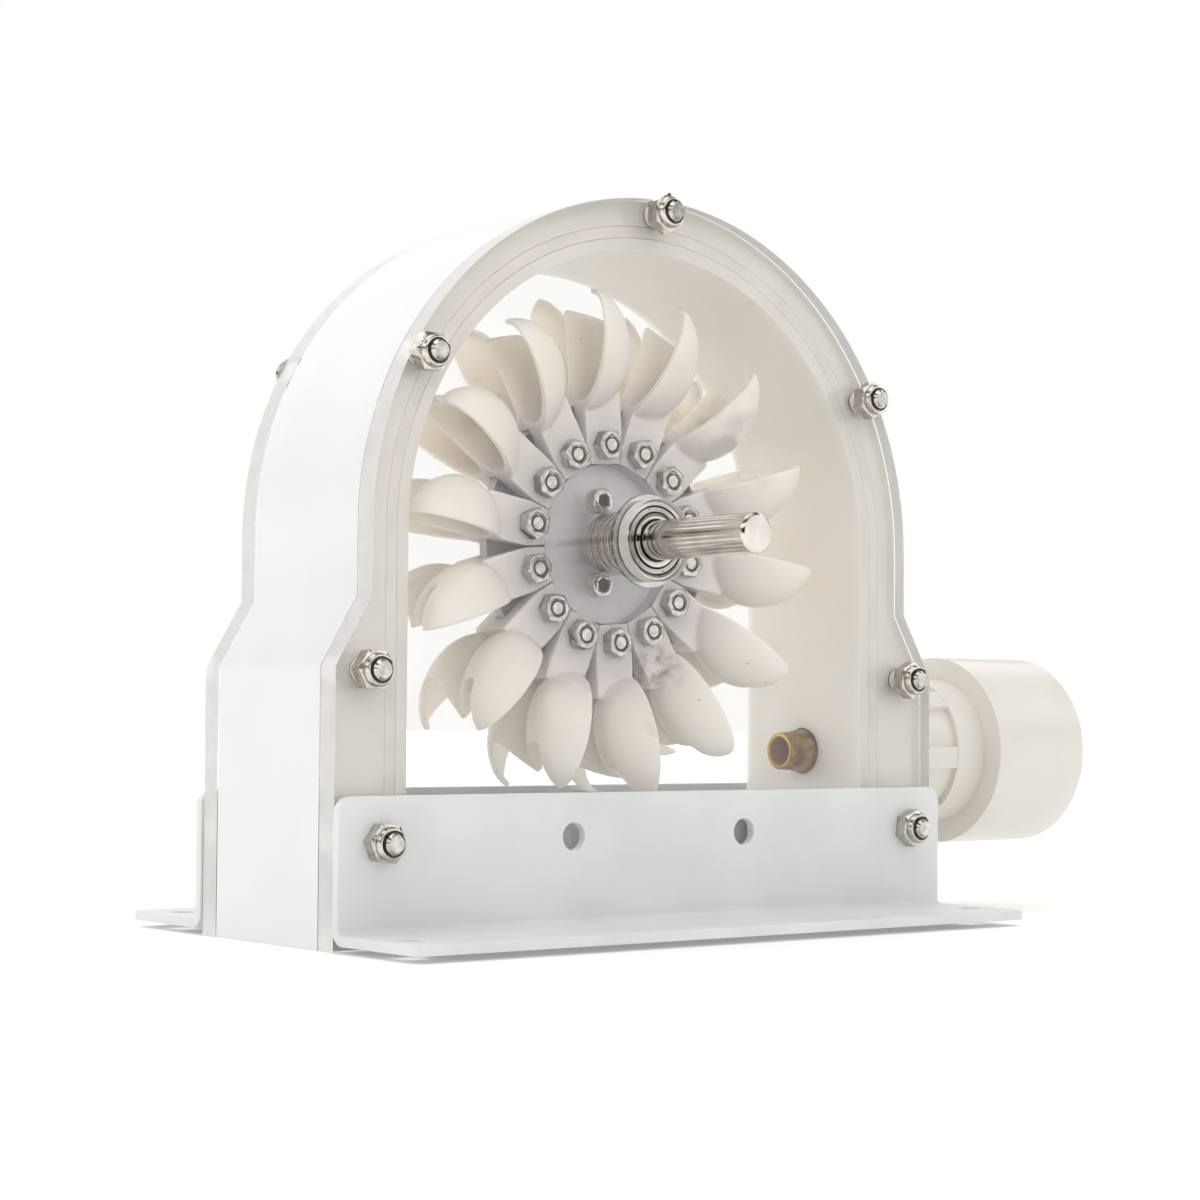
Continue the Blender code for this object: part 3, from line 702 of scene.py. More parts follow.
def make_casing(plastic, inside, milled):
    """The arch, whose two milled faces lie against the windows."""
    casing = outer_slab("casing_arch", -CASING_FACE, CASING_FACE)
    beyond = CASING_FACE + MM
    cut(casing, arch_slab("cavity", CAVITY_RADIUS, -beyond, beyond, [(-MM, 1)]))
    for side in (-1, 1):
        near, far = sorted((side * (CASING_FACE - GROOVE_DEPTH), side * beyond))
        cut(casing, ring_slab("groove", GROOVE_INNER, GROOVE_OUTER, near, far, -MM))
    cut(casing, bolt_holes("holes", -beyond, beyond))
    jet = start("jet_hole", bpy.ops.mesh.primitive_cylinder_add, vertices=ROUND_STEPS,
                radius=NOZZLE_BODY + GAP, depth=30 * MM, rotation=(0, math.pi / 2, 0),
                location=JET_PLACE + RIGHT * (CAVITY_RADIUS + 9 * MM))
    done()
    cut(casing, jet)
    round_edges(casing, 0.35 * MM)

    def finish(place, normal):
        if abs(normal.y) > 0.9:
            return 2
        return 1 if normal.dot(place - AXIS) < 0 else 0

    finish_by(casing, [plastic, inside, milled], finish)
    hand_over(casing, "casing", plastic, ["casing"])


def make_seals(rubber):
    strip = ring_slab("front_seal_strip", GROOVE_INNER + SEAL_GAP, GROOVE_OUTER - SEAL_GAP, -CASING_FACE,
                      -CASING_FACE + SEAL_THICKNESS, 0)
    round_edges(strip, 0.15 * MM)
    hand_over_pair(strip, "casing", rubber, "seal")


def make_windows(acrylic, edge):
    """The clear windows. Their rims and bores are sawn, and get the frosted finish. They throw no
    shadow, so that the lamps light what is inside."""
    window = outer_slab("front_window", -WINDOW_FACE, -CASING_HALF_DEPTH)
    near = -WINDOW_FACE - MM
    far = -CASING_HALF_DEPTH + MM
    cut(window, rods("seat", [(0, AXIS.z)], BEARING_RADIUS + GAP, near, far, ROUND_STEPS))
    cut(window, bolt_holes("holes", near, far))
    round_edges(window, 0.3 * MM)
    finish_by(window, [acrylic, edge], lambda place, normal: abs(normal.y) < 0.97)
    window.visible_shadow = False
    hand_over_pair(window, "casing", acrylic, "plate")


# Angle feet

def make_feet(paint):
    """A strip bent to an angle, with rounded corners and drilled holes, at the front and the back."""
    near = AXIS.y - WINDOW_FACE - GAP
    reach = AXIS.y - BRACKET_REACH
    foot = start("front_foot", bpy.ops.mesh.primitive_plane_add, size=2,
                 location=(AXIS.x, (near + reach) / 2, BRACKET_LIFT))
    bpy.ops.transform.resize(value=(BRACKET_HALF_LENGTH, (near - reach) / 2, 1),
                             center_override=(AXIS.x, (near + reach) / 2, 0))
    choose_edges(foot, lambda a, b: min(a.y, b.y) > near - MM)
    extrude((0, 0, BRACKET_TOP - BRACKET_LIFT))
    choose_edges(foot, lambda a, b: min(a.y, b.y) > near - MM and max(a.z, b.z) < BRACKET_LIFT + MM)
    bpy.ops.mesh.bevel(offset=BEND_RADIUS, segments=10, affect="EDGES")
    done()
    apply_step(foot, "SOLIDIFY", thickness=BRACKET_THICKNESS, offset=1)
    trim_corners(foot, near, reach)
    for places, radius in ((WEB_HOLES, FOOT_HOLE_RADIUS), (BRACKET_BOLTS, BOLT_HOLE_RADIUS)):
        cut(foot, rods("holes", places, radius, -WINDOW_FACE - 5 * MM, -WINDOW_FACE + 2 * MM))
    for across, forward in FLANGE_HOLES:
        drill = start("flange_hole", bpy.ops.mesh.primitive_cylinder_add, vertices=SMALL_STEPS,
                      radius=FOOT_HOLE_RADIUS, depth=10 * MM,
                      location=(AXIS.x + across, AXIS.y - forward, 0))
        done()
        cut(foot, drill)
    round_edges(foot, 0.3 * MM)
    hand_over_pair(foot, "casing", paint, "bracket")


def trim_corners(foot, near, reach):
    """Rounds the two far corners of the flange and the two top corners of the web."""
    width = 2 * BRACKET_HALF_LENGTH
    web = box("web_blank", (width, 6 * MM, 2 * BRACKET_TOP), (AXIS.x, near - MM, 0))
    choose_edges(web, lambda a, b: abs(a.y - b.y) > MM and min(a.z, b.z) > 0)
    bpy.ops.mesh.bevel(offset=WEB_CORNER, segments=10, affect="EDGES")
    done()
    flange = box("flange_blank", (width, 2 * (near - reach), 5 * MM), (AXIS.x, near, BRACKET_LIFT))
    choose_edges(flange, lambda a, b: abs(a.z - b.z) > MM and max(a.y, b.y) < near)
    bpy.ops.mesh.bevel(offset=FLANGE_CORNER, segments=12, affect="EDGES")
    done()
    cut(web, flange, "UNION")
    cut(foot, web, "INTERSECT")


# Fasteners

def hexagon(name, flats, near, far):
    """A plain hexagon bar along Y about the shaft's axis."""
    bar = start(name, bpy.ops.mesh.primitive_cylinder_add, vertices=6, radius=flats / math.sqrt(3),
                depth=far - near, location=AXIS + FORWARD * ((near + far) / 2),
                rotation=(math.pi / 2, 0, 0))
    done()
    return bar


def nut_blank(name, flats, near, far, chamfer):
    """A hexagon bar with its front corners turned down."""
    radius = flats / math.sqrt(3)
    bar = hexagon(name, flats, near, far)
    profile = [(0, near - MM), (radius + MM, near - MM), (radius + MM, far - chamfer / 2),
               (radius - chamfer, far), (0, far)]
    cut(bar, turned("turned_down", profile), "INTERSECT")
    return bar


def thread(radius, pitch, near, far, tip):
    """Profile points of a threaded rod with a chamfered tip, from the axis at the near end."""
    points = [(0, near)]
    steps = int((far - tip - near) / pitch)
    root = radius - 0.35 * pitch
    for index in range(steps):
        points += [(root, near + index * pitch), (radius, near + (index + 0.45) * pitch),
                   (radius, near + (index + 0.6) * pitch)]
    return points + [(root, near + steps * pitch), (root, far - tip), (root - tip * 0.4, far), (0, far)]


def make_through_bolts(steel, nylon, shade_steel):
    """Long bolts with a locking nut at the front and a round head at the back."""
    nut = nut_blank("nut", NUT_FLATS, 0, NUT_HEX_HEIGHT, 0.9 * MM)
    collar = [(2.2 * MM, 0.5 * MM), (NUT_COLLAR_RADIUS, 0.5 * MM),
              (NUT_COLLAR_RADIUS, NUT_HEIGHT - 0.7 * MM), (2.85 * MM, NUT_HEIGHT - 0.15 * MM),
              (2.5 * MM, NUT_HEIGHT), (NUT_BORE, NUT_HEIGHT - 0.3 * MM)]
    cut(nut, turned("collar", collar, steps=FASTENER_STEPS), "UNION")
    bore = [(0, -MM), (NUT_BORE, -MM), (NUT_BORE, NUT_HEIGHT + MM), (0, NUT_HEIGHT + MM)]
    cut(nut, turned("bore", bore, steps=FASTENER_STEPS))
    round_edges(nut, METAL_EDGE, 2, 28)
    low = NUT_HEIGHT - 1.6 * MM
    ring = turned("ring", [
        (LOCK_RING_BORE, low), (LOCK_RING_RADIUS, low), (LOCK_RING_RADIUS, NUT_HEIGHT - 0.45 * MM),
        (LOCK_RING_BORE, NUT_HEIGHT - 0.6 * MM)], steps=FASTENER_STEPS)
    smooth(ring)
    rod = thread(BOLT_RADIUS, THREAD_PITCH, -2 * WINDOW_FACE, NUT_HEIGHT + BOLT_PROUD, 0.5 * MM)
    shank = turned("shank", rod, steps=SMALL_STEPS)
    smooth(shank, 25)
    tip = AXIS.y - NUT_HEIGHT
    # The thread inside the nut gets the nearly black steel: painted shade.
    finish_by(shank, [steel, shade_steel], lambda place, normal: tip < place.y < AXIS.y)
    head = round_head("head", BOLT_HEAD_RADIUS, BOLT_HEAD_HEIGHT, KEY_FLATS)
    deep = WINDOW_FACE + GAP + BRACKET_THICKNESS
    places = [(place, WINDOW_FACE) for place in WINDOW_BOLTS] + [(place, deep) for place in BRACKET_BOLTS]
    for index, ((across, height), face) in enumerate(places):
        front = Matrix.Translation((across, -face, height - AXIS.z)) @ about_axis(index * 0.5)
        back = to_back() @ Matrix.Translation((-across, -face, height - AXIS.z))
        mark = "_%d" % (index + 1)
        hand_over(copy_of(nut, "lock_nut" + mark, front), "casing", steel)
        hand_over(copy_of(ring, "lock_ring" + mark, front), "casing", nylon)
        hand_over(copy_of(shank, "through_bolt" + mark, front), "casing", steel)
        hand_over(copy_of(head, "bolt_head" + mark, back), "casing", steel)
    discard(nut, ring, shank, head)


def round_head(name, radius, height, flats):
    """A low domed head with a hexagon socket, whose flat side lies at depth nought."""
    dome = [(0, 0), (radius * 0.97, 0)]
    for step in range(7):
        angle = math.radians(10 + 55 * step / 6)
        dome.append((radius * math.cos(angle), height * math.sin(angle) / math.sin(math.radians(65))))
    dome.append((0, height))
    head = turned(name, dome, steps=FASTENER_STEPS)
    cut(head, hexagon("key", flats, height * 0.4, height + MM))
    round_edges(head, 0.1 * MM, 2, 40)
    return head


def on_both_sides(angle, orbit, face, spin=0):
    """Where a fastener goes: its move to the front, with a spin of its own, and that to the back."""
    seat = Matrix.Translation((orbit, -face, 0))
    return (about_axis(angle) @ seat @ about_axis(spin),
            to_back() @ about_axis(math.pi - angle) @ seat)


def make_bucket_fasteners(steel, shade_steel):
    """A nut and bolt end on each bucket's root at the front, and a round head at the back."""
    nut = nut_blank("small_nut", SMALL_NUT_FLATS, 0, SMALL_NUT_HEIGHT, 0.7 * MM)
    cone = 0.25 * MM
    bore = [(0, -MM), (SMALL_NUT_BORE, -MM), (SMALL_NUT_BORE, SMALL_NUT_HEIGHT - cone),
            (SMALL_NUT_BORE + 2 * cone, SMALL_NUT_HEIGHT + cone), (0, SMALL_NUT_HEIGHT + cone)]
    cut(nut, turned("bore", bore, steps=FASTENER_STEPS))
    round_edges(nut, METAL_EDGE, 2, 28)

    # The nut's bore gets the nearly black steel: painted shade.
    def in_bore(place, normal):
        return abs(normal.y) < 0.3 and (place - AXIS).xz.length < 2 * MM

    finish_by(nut, [steel, shade_steel], in_bore)
    rod = thread(SMALL_BOLT_RADIUS, SMALL_BOLT_PITCH, -LUG_FACE, SMALL_NUT_HEIGHT - 0.05 * MM, 0.2 * MM)
    end = turned("bolt_end", rod, steps=SMALL_STEPS)
    smooth(end, 25)
    tip = AXIS.y - SMALL_NUT_HEIGHT + 0.27 * MM
    # The bolt end inside the nut gets the nearly black steel: painted shade.
    finish_by(end, [steel, shade_steel], lambda place, normal: place.y > tip)
    head = round_head("small_head", SMALL_HEAD_RADIUS, SMALL_HEAD_HEIGHT, SMALL_KEY_FLATS)
    for index in range(BUCKET_COUNT):
        front, back = on_both_sides(bucket_angle(index), BUCKET_BOLT_RADIUS, LUG_FACE, index * 0.37)
        mark = "_%02d" % (index + 1)
        hand_over(copy_of(nut, "bucket_nut" + mark, front), "runner", steel)
        hand_over(copy_of(end, "bucket_bolt" + mark, front), "runner", steel)
        hand_over(copy_of(head, "bucket_bolt_head" + mark, back), "runner", steel)
    discard(nut, end, head)


def make_cap_screws(steel, shade_steel):
    """Three cap screws with hexagon sockets that clamp the hub, and their heads at the back."""
    worn = 0.2 * MM
    screw = turned("cap_screw", [
        (0, 0), (CAP_SCREW_RADIUS, 0), (CAP_SCREW_RADIUS, CAP_SCREW_HEIGHT - worn),
        (CAP_SCREW_RADIUS - worn, CAP_SCREW_HEIGHT), (0, CAP_SCREW_HEIGHT)], steps=FASTENER_STEPS)
    cut(screw, hexagon("key", KEY_FLATS, CAP_SCREW_KEY_FLOOR, CAP_SCREW_HEIGHT + MM))
    round_edges(screw, METAL_EDGE, 2, 30)
    # The hexagon socket gets the nearly black steel: painted shade.
    finish_by(screw, [steel, shade_steel], lambda place, normal: (place - AXIS).xz.length < 1.5 * MM)
    for index, angle in enumerate(CAP_SCREW_PLACES):
        moves = on_both_sides(angle, CAP_SCREW_ORBIT, HUB_FACE)
        for side, move in zip(("front", "back"), moves):
            name = "hub_screw_%s_%d" % (side, index + 1)
            hand_over(copy_of(screw, name, move), "runner", steel)
    discard(screw)


# Shaft, bearings and hub

def make_shaft(steel):
    chamfer = 0.6 * MM
    tip = SHAFT_RADIUS - chamfer
    profile = [(0, SHAFT_FRONT), (tip, SHAFT_FRONT), (SHAFT_RADIUS, SHAFT_FRONT - chamfer),
               (SHAFT_RADIUS, -SHAFT_BACK + chamfer), (tip, -SHAFT_BACK), (0, -SHAFT_BACK)]
    shaft = turned("shaft_bar", profile)
    round_edges(shaft, METAL_EDGE, 2, 30)
    hand_over(shaft, "runner", steel, ["shaft"])


def make_bearings(steel, shield_metal, shade_steel):
    """Outer ring with its flange, pressed shield with notches, inner ring on the shaft, and a nearly black
    ring set behind them, painted shade that shows through the gaps between them."""
    seat = CASING_FACE
    back = seat - BEARING_FLANGE
    face = BEARING_FACE
    groove = SHIELD_OUTER_RADIUS + 0.3 * MM
    outer = turned("front_bearing_outer", [
        (SHIELD_OUTER_RADIUS, back), (SHIELD_OUTER_RADIUS, face - 0.15 * MM), (groove, face - 0.15 * MM),
        (groove, face), (BEARING_RADIUS, face), (BEARING_RADIUS, seat),
        (BEARING_FLANGE_RADIUS, seat), (BEARING_FLANGE_RADIUS, back)])
    round_edges(outer, 0.2 * MM, 3)
    bore = SHAFT_RADIUS + 0.3 * MM
    land = SHIELD_INNER_RADIUS - 0.3 * MM
    inner = turned("front_bearing_inner", [
        (bore, back), (bore, face - 0.1 * MM), (SHAFT_RADIUS + 0.4 * MM, face), (land, face), (land, back)])
    round_edges(inner, 0.1 * MM, 2)
    low = face - 0.4 * MM
    edge = SHIELD_OUTER_RADIUS - 0.25 * MM
    shield = turned("front_bearing_shield", [
        (SHIELD_INNER_RADIUS, low), (SHIELD_INNER_RADIUS + 0.15 * MM, low + 0.2 * MM),
        (SHIELD_OUTER_RADIUS - 0.4 * MM, low + 0.2 * MM), (edge, low), (edge, low - 0.4 * MM),
        (SHIELD_INNER_RADIUS, low - 0.4 * MM)])
    for index in range(6):
        notch = box("notch", (0.22 * MM, 0.3 * MM, 0.9 * MM),
                    AXIS + Vector((0, -low - 0.2 * MM, SHIELD_OUTER_RADIUS - 0.45 * MM)))
        done()
        notch.data.transform(about_axis(0.3 + index * math.pi / 3))
        cut(shield, notch)
    smooth(shield)
    # A nearly black ring behind the shield and rings: painted shade for the gaps between them.
    gaps = turned("front_bearing_gaps", [
        (SHAFT_RADIUS + TINY, low - 0.8 * MM), (SHAFT_RADIUS + TINY, low - 0.3 * MM),
        (SHIELD_OUTER_RADIUS - TINY, low - 0.3 * MM), (SHIELD_OUTER_RADIUS - TINY, low - 0.8 * MM)])
    smooth(gaps)
    hand_over_pair(outer, "casing", steel, "bearing")
    hand_over_pair(inner, "runner", steel)
    hand_over_pair(shield, "casing", shield_metal)
    hand_over_pair(gaps, "casing", shade_steel)


def make_spacers(steel):
    """A stack of thin rounded washers on the shaft, on each side of the hub."""
    inner_end = HUB_FACE + GAP
    outer_end = CASING_HALF_DEPTH - BEARING_FLANGE - 2 * GAP
    pitch = (outer_end - inner_end) / SPACER_RINGS
    gap = 0.22 * MM
    profile = [(SHAFT_RADIUS + GAP, inner_end)]
    for ring in range(SPACER_RINGS):
        low = inner_end + ring * pitch
        high = low + pitch - gap
        bulge = SPACER_RADIUS - 0.18 * MM
        profile += [(bulge, low), (SPACER_RADIUS, low + 0.25 * MM),
                    (SPACER_RADIUS, high - 0.25 * MM), (bulge, high)]
        if ring < SPACER_RINGS - 1:
            profile += [(SPACER_RADIUS - 0.7 * MM, high), (SPACER_RADIUS - 0.7 * MM, low + pitch)]
    profile.append((SHAFT_RADIUS + GAP, outer_end - gap))
    stack = turned("front_washers", profile)
    smooth(stack, 50)
    hand_over_pair(stack, "runner", steel, "spacer")


def make_hub(resin):
    bore = SHAFT_RADIUS + GAP
    disc = turned("thin_disc", [(DISC_RADIUS, DISC_HALF), (DISC_RADIUS, -DISC_HALF), (bore, -DISC_HALF),
                                (bore, DISC_HALF)], steps=ARCH_STEPS // 2)
    round_edges(disc, 0.2 * MM, 2)
    inner = DISC_HALF + GAP
    plate = turned("front_hub_disc", [(HUB_RADIUS, HUB_FACE), (HUB_RADIUS, inner), (bore, inner),
                                      (bore, HUB_FACE)], steps=ARCH_STEPS // 2)
    round_edges(plate, 0.3 * MM, 3)
    hand_over(disc, "runner", resin, ["wheel_disc"])
    hand_over_pair(plate, "runner", resin, "hub_plate")


# Buckets

def lobe(name, wall, root_wall, inner_side):
    """One egg-shaped lobe of a cup, smaller than its outside by the walls, shaped from a sphere."""
    centre = CUP_CENTRE + (root_wall - wall) / 2
    half_length = CUP_HALF_LENGTH - (root_wall + wall) / 2
    piece = start(name, bpy.ops.mesh.primitive_uv_sphere_add, segments=65, ring_count=48, radius=1,
                  rotation=(0, math.pi / 2, 0))
    done()
    for vertex in piece.data.vertices:
        along, across, up = vertex.co
        middle = CUP_SIDE + CUP_SPLAY * CUP_HALF_LENGTH * along
        reach = CUP_HALF_WIDTH - wall
        if across < 0:
            round_end = math.sqrt(max(1 - along ** 2, 0.0001))
            square_end = max(1 - along ** 4, 0) ** 0.25
            reach = (middle - inner_side) * square_end / round_end
        vertex.co = (centre + half_length * along, middle + reach * across,
                     LOBE_MIDDLE + (CUP_DEPTH - wall) * up * (1 - CUP_NARROWING * along))
    return piece


def block(name, low, high):
    """A box tool between two corners."""
    tool = box(name, Vector(high) - Vector(low), (Vector(low) + Vector(high)) / 2)
    done()
    return tool


def make_bucket_half():
    """The front half of a bucket: a hollow lobe on a root that narrows towards the shaft."""
    half = lobe("bucket_half", 0, 0, -LOBE_OVERLAP)
    cut(half, root_block(), "UNION")
    cut(half, block("above_rim", (0, -50 * MM, RIM_HEIGHT), (100 * MM, 50 * MM, 50 * MM)))
    cut(half, lobe("inside", CUP_WALL, CUP_ROOT_WALL, SPLITTER_HALF_WIDTH))
    cut(half, notch_tool())
    cut(half, block("other_side", (0, -50 * MM, -50 * MM), (100 * MM, 0, 50 * MM)))
    return half


def root_block():
    """The root: it widens like a slice of cake as far as its bolt, and then stays nearly as wide."""
    wedge = LUG_MIDDLE_RADIUS - LUG_INNER_RADIUS
    root = box("root", (wedge, 2 * LUG_FACE, 2 * LUG_HALF_MIDDLE), (LUG_INNER_RADIUS + wedge / 2, 0, 0))
    choose_faces(root, lambda place, normal: normal.x < -0.9)
    bpy.ops.transform.resize(value=(1, 1, LUG_HALF_INNER / LUG_HALF_MIDDLE), center_override=(0, 0, 0))
    choose_faces(root, lambda place, normal: normal.x > 0.9)
    extrude((LUG_OUTER_RADIUS - LUG_MIDDLE_RADIUS, 0, 0))
    bpy.ops.transform.resize(value=(1, 1, LUG_HALF_OUTER / LUG_HALF_MIDDLE), center_override=(0, 0, 0))
    done()
    return root


def notch_tool():
    """A wedge that opens the end of one cup, between the splitter's tip and the horn."""
    beyond = CUP_CENTRE + CUP_HALF_LENGTH + 4 * MM
    points = [Vector((x, y, 0)) for x, y in (
        (NOTCH_VALLEY, NOTCH_INNER_SIDE), (SPLITTER_TIP, 0), (beyond, -4 * MM),
        (beyond, NOTCH_OUTER_SIDE), (NOTCH_VALLEY, NOTCH_OUTER_SIDE))]
    wedge = start("notch", bpy.ops.mesh.primitive_plane_add, size=MM, location=points[0])
    bpy.ops.mesh.merge(type="CENTER")
    draw(points)
    bpy.ops.mesh.select_all(action="SELECT")
    bpy.ops.mesh.edge_face_add()
    bpy.ops.transform.translate(value=(0, 0, -20 * MM))
    extrude((0, 0, 40 * MM))
    bpy.ops.mesh.select_all(action="SELECT")
    bpy.ops.mesh.normals_make_consistent(inside=False)
    done()
    return wedge


def make_buckets(outside, inside):
    """Both halves are joined, skinned over so that the corners run smoothly together, and thinned out."""
    bucket = make_bucket_half()
    apply_step(bucket, "MIRROR", use_axis=(False, True, False), merge_threshold=0.01 * MM)
    apply_step(bucket, "REMESH", mode="VOXEL", voxel_size=0.3 * MM)
    cups = bucket.vertex_groups.new(name="cups")
    cups.add([vertex.index for vertex in bucket.data.vertices if vertex.co.x > CUP_START], 1, "REPLACE")
    apply_step(bucket, "SMOOTH", factor=0.5, iterations=5, vertex_group="cups")
    slot_half = DISC_HALF + 0.15 * MM
    cut(bucket, block("disc_slot", (0, -slot_half, -20 * MM), (DISC_RADIUS + GAP, slot_half, 20 * MM)))
    apply_step(bucket, "DECIMATE", ratio=0.3)
    smooth(bucket, 50)

    def faces_into_cup(place, normal):
        middle = Vector((CUP_CENTRE, math.copysign(CUP_SIDE, place.y), RIM_HEIGHT))
        return place.x > CUP_START and place.z < RIM_HEIGHT - TINY and normal.dot(middle - place) > 0

    finish_by(bucket, [outside, inside], faces_into_cup)
    for index in range(BUCKET_COUNT):
        turn = Matrix.Translation(AXIS) @ Matrix.Rotation(-bucket_angle(index), 4, "Y")
        number = "%02d" % (index + 1)
        hand_over(copy_of(bucket, "split_bucket_" + number, turn), "runner", outside,
                  ["bucket_" + number])
    discard(bucket)


# Jet and pipe fitting

def make_nozzle(worn, bright, brown):
    """The jet: a worn tip that flares towards the casing, its mouth rubbed bright and its bore brown."""
    jet = turned("jet_tip", [
        (NOZZLE_BORE, NOZZLE_TIP + 0.3 * MM), (NOZZLE_BORE + 0.2 * MM, NOZZLE_TIP),
        (NOZZLE_TIP_RADIUS - 0.15 * MM, NOZZLE_TIP), (NOZZLE_TIP_RADIUS, NOZZLE_TIP + 0.2 * MM),
        (NOZZLE_NECK, NOZZLE_FLARE_START), (NOZZLE_BODY - 0.1 * MM, NOZZLE_FLARE_END - 0.6 * MM),
        (NOZZLE_BODY, NOZZLE_FLARE_END), (NOZZLE_BODY, NOZZLE_END), (NOZZLE_BORE, NOZZLE_END)],
        JET_PLACE, RIGHT)
    round_edges(jet, 0.1 * MM, 2, 30)
    mouth = JET_PLACE.x + NOZZLE_TIP + 0.25 * MM

    def finish(middle, normal):
        if (middle - JET_PLACE).yz.length < NOZZLE_BORE + 0.05 * MM:
            return 2
        return 1 if middle.x < mouth and abs(normal.x) > 0.3 else 0

    finish_by(jet, [worn, bright, brown], finish)
    hand_over(jet, "casing", worn, ["nozzle"])


def make_fitting(pvc):
    """The pipe fitting: a hub with flat ribs against the casing, a collar, and a socket for the pipe."""
    bore = NOZZLE_BODY + GAP
    seat = NOZZLE_END + GAP
    fitting = turned("pipe_socket_fitting", [
        (SOCKET_RADIUS, SOCKET_END), (SOCKET_RADIUS, SOCKET_START), (COLLAR_RADIUS, SOCKET_START),
        (COLLAR_RADIUS, COLLAR_START), (FITTING_HUB, COLLAR_START), (FITTING_HUB, FITTING_START),
        (bore, FITTING_START), (bore, seat), (FITTING_HUB_BORE, seat + FITTING_HUB_BORE - bore),
        (FITTING_HUB_BORE, SOCKET_FLOOR), (SOCKET_BORE, SOCKET_FLOOR), (SOCKET_BORE, SOCKET_END)],
        JET_PLACE, RIGHT, ARCH_STEPS // 2)
    length = COLLAR_START - FITTING_START
    for index in range(RIB_COUNT):
        angle = FIRST_RIB_ANGLE + index * 2 * math.pi / RIB_COUNT
        rib = box("rib", (length, RIB_WIDTH, RIB_THICKNESS),
                  (FITTING_START + length / 2 + 0.5 * MM, 0, RIB_REACH - RIB_THICKNESS / 2))
        done()
        rib.data.transform(Matrix.Translation(JET_PLACE) @ Matrix.Rotation(angle, 4, "X"))
        cut(fitting, rib, "UNION")
    round_edges(fitting, 0.45 * MM, 3)
    hand_over(fitting, "casing", pvc, ["pipe_fitting"])


# Studio

CAMERA_PLACE = Vector((AXIS.x - 334.71 * MM, AXIS.y - 427.46 * MM, 42.98 * MM))
CAMERA_YAW = math.radians(-38.34)
CAMERA_PITCH = math.radians(2.56)
CAMERA_ROLL = math.radians(0.36)
CAMERA_LENS = 78.675
FLOOR_SIZE = 12
FLOOR_GLOW = {"From Min": 0.12, "From Max": 0.5, "To Min": 0.13, "To Max": 0.27}
TOP_LIGHT_PLACE = Vector((-0.2, 0.2, 0.95))
TOP_LIGHT_AIM = Vector((0, 0, 0.05))
TOP_LIGHT_SIZE = 0.9
TOP_LIGHT_POWER = 1.6

# Brightness of the sky at eye level, overhead and as it reaches the inside through the windows
TENT_LIGHT = 0.56
ZENITH_LIGHT = 1.3
WINDOW_LIGHT = 2.4

# Shares of it that come from the camera's side and from behind the machine
SHARE_FROM_CAMERA = 0.85
SHARE_FROM_BEHIND = 1.25

# What bright metal sees: (height, brightness), and where the dark opening starts and ends
STRIP_LIGHTS = [(0, 1.2), (0.17, 1.2), (0.22, 0.1), (0.32, 0.08), (0.38, 1.5), (0.62, 1.5), (0.70, 0.15),
                (0.86, 0.15), (0.93, 1.0)]
OPENING_EDGE = {"From Min": -0.98, "From Max": -0.80}


def make_camera():
    camera = bpy.data.objects.new("camera", bpy.data.cameras.new("camera"))
    bpy.context.scene.collection.objects.link(camera)
    camera.data.lens = CAMERA_LENS
    camera.data.sensor_width = 36
    camera.data.clip_start = 0.01
    aim = Matrix.Rotation(CAMERA_YAW, 4, "Z") @ Matrix.Rotation(math.pi / 2 + CAMERA_PITCH, 4, "X")
    camera.matrix_world = Matrix.Translation(CAMERA_PLACE) @ aim @ Matrix.Rotation(CAMERA_ROLL, 4, "Z")
    bpy.context.scene.camera = camera


def make_floor():
    """A plain pale floor, which glows more the farther it is, so that no horizon shows."""
    floor = start("floor", bpy.ops.mesh.primitive_plane_add, size=FLOOR_SIZE, location=(0, 0, 0))
    done()
    material, tree, shader, place = new_material("pale_floor", Roughness=0.7,
                                                 Emission_Color=(1, 1, 1, 1))
    tree.links.new(tone(tree, place, 0.4, "#f7f7f6", "#f5f5f4"), shader.inputs["Base Color"])
    distance = add_node(tree, "VectorMath", {0: place}, output="Value", operation="LENGTH")
    glow = add_node(tree, "MapRange", {"Value": distance, **FLOOR_GLOW})
    tree.links.new(glow, shader.inputs["Emission Strength"])
    floor.data.materials.append(material)


def make_top_light():
    """One wide soft lamp high over the machine."""
    light = bpy.data.objects.new("top_box", bpy.data.lights.new("top_box", "AREA"))
    light.data.shape = "SQUARE"
    light.data.size = TOP_LIGHT_SIZE
    light.data.energy = TOP_LIGHT_POWER
    light.location = TOP_LIGHT_PLACE
    light.rotation_euler = (TOP_LIGHT_AIM - TOP_LIGHT_PLACE).to_track_quat("-Z", "Y").to_euler()
    bpy.context.scene.collection.objects.link(light)


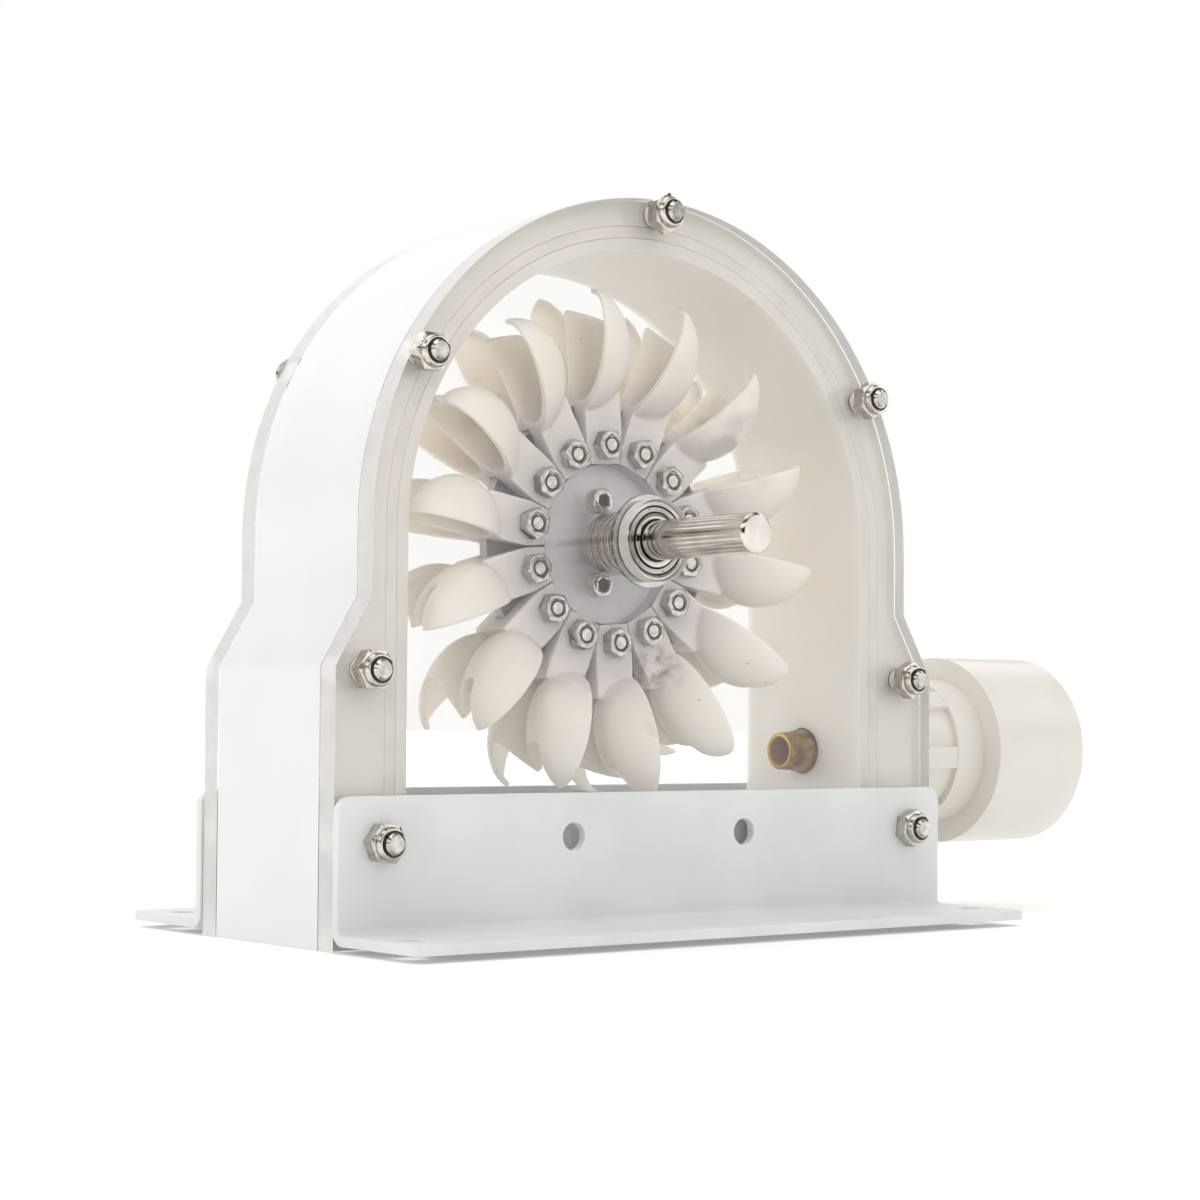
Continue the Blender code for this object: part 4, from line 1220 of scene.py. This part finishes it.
def make_sky():
    """A white tent, brightest overhead, and brighter behind the machine than at the camera's side.
    Bright metal sees it as strips of light with dark between them, and with the dark opening that the
    camera looks in through. What lies behind the windows gets more of it. The backdrop is plain white."""
    world = bpy.data.worlds.new("studio")
    bpy.context.scene.world = world
    world.use_nodes = True
    tree = world.node_tree
    back = tree.nodes["Background"]
    view = add_node(tree, "TexCoord", output="Generated")
    path = add_node(tree, "LightPath").node.outputs
    turn = Matrix.Rotation(CAMERA_YAW, 3, "Z") @ Matrix.Rotation(CAMERA_PITCH, 3, "X")
    facing = add_node(tree, "VectorMath", {0: view, 1: turn @ Vector((0, 1, 0))}, output="Value",
                      operation="DOT_PRODUCT")
    opening = add_node(tree, "MapRange", {"Value": facing, **OPENING_EDGE},
                       interpolation_type="SMOOTHSTEP")
    height = add_node(tree, "SeparateXYZ", {"Vector": view}, output="Z")
    strips = add_node(tree, "ValToRGB", {"Fac": height},
                      stops=[(level, (light, light, light, 1)) for level, light in STRIP_LIGHTS])
    seen = add_node(tree, "Math", {0: strips, 1: opening}, operation="MULTIPLY")
    tent = add_node(tree, "MapRange", {"Value": height, "To Min": TENT_LIGHT, "To Max": ZENITH_LIGHT})
    within = add_node(tree, "Math", {0: path["Is Transmission Ray"], 1: WINDOW_LIGHT - TENT_LIGHT,
                                     2: tent}, operation="MULTIPLY_ADD")
    share = add_node(tree, "MapRange", {"Value": facing, "From Min": -1, "From Max": 1,
                                        "To Min": SHARE_FROM_CAMERA, "To Max": SHARE_FROM_BEHIND})
    lit = add_node(tree, "Math", {0: within, 1: share}, operation="MULTIPLY")
    backdrop = add_node(tree, "Math", {0: 1, 1: path["Diffuse Depth"]}, operation="SUBTRACT",
                        use_clamp=True)
    plain = add_node(tree, "Mix", {0: backdrop, 2: lit, 3: 1})
    mirrored = add_node(tree, "Math", {0: path["Glossy Depth"], 1: path["Diffuse Depth"]},
                        operation="SUBTRACT", use_clamp=True)
    strength = add_node(tree, "Mix", {0: mirrored, 2: plain, 3: seen})
    tree.links.new(strength, back.inputs["Strength"])
    back.inputs["Color"].default_value = (1, 1, 1, 1)


def make_studio():
    make_camera()
    make_floor()
    make_sky()
    make_top_light()
    bpy.context.scene.view_settings.view_transform = "Standard"


# The turbine

make_studio()
make_casing(moulded_abs(), inside_abs(), milled_abs())
make_seals(silicone())
make_windows(cast_acrylic(), sawn_acrylic())
make_feet(powder_coat())
PLATED = plated_steel()
# Nearly black steel, painted shade for recesses and gaps.
SHADE_STEEL = painted_shade_steel()
make_through_bolts(PLATED, nylon_ring(), SHADE_STEEL)
make_bucket_fasteners(PLATED, SHADE_STEEL)
make_cap_screws(PLATED, SHADE_STEEL)
make_shaft(ground_steel())
make_bearings(bearing_steel(), shield_steel(), SHADE_STEEL)
make_spacers(spacer_steel())
make_hub(hub_resin())
make_buckets(outside_resin(), inside_resin())
make_nozzle(tarnished_brass(), bright_brass(), brown_brass())
make_fitting(moulded_pvc())
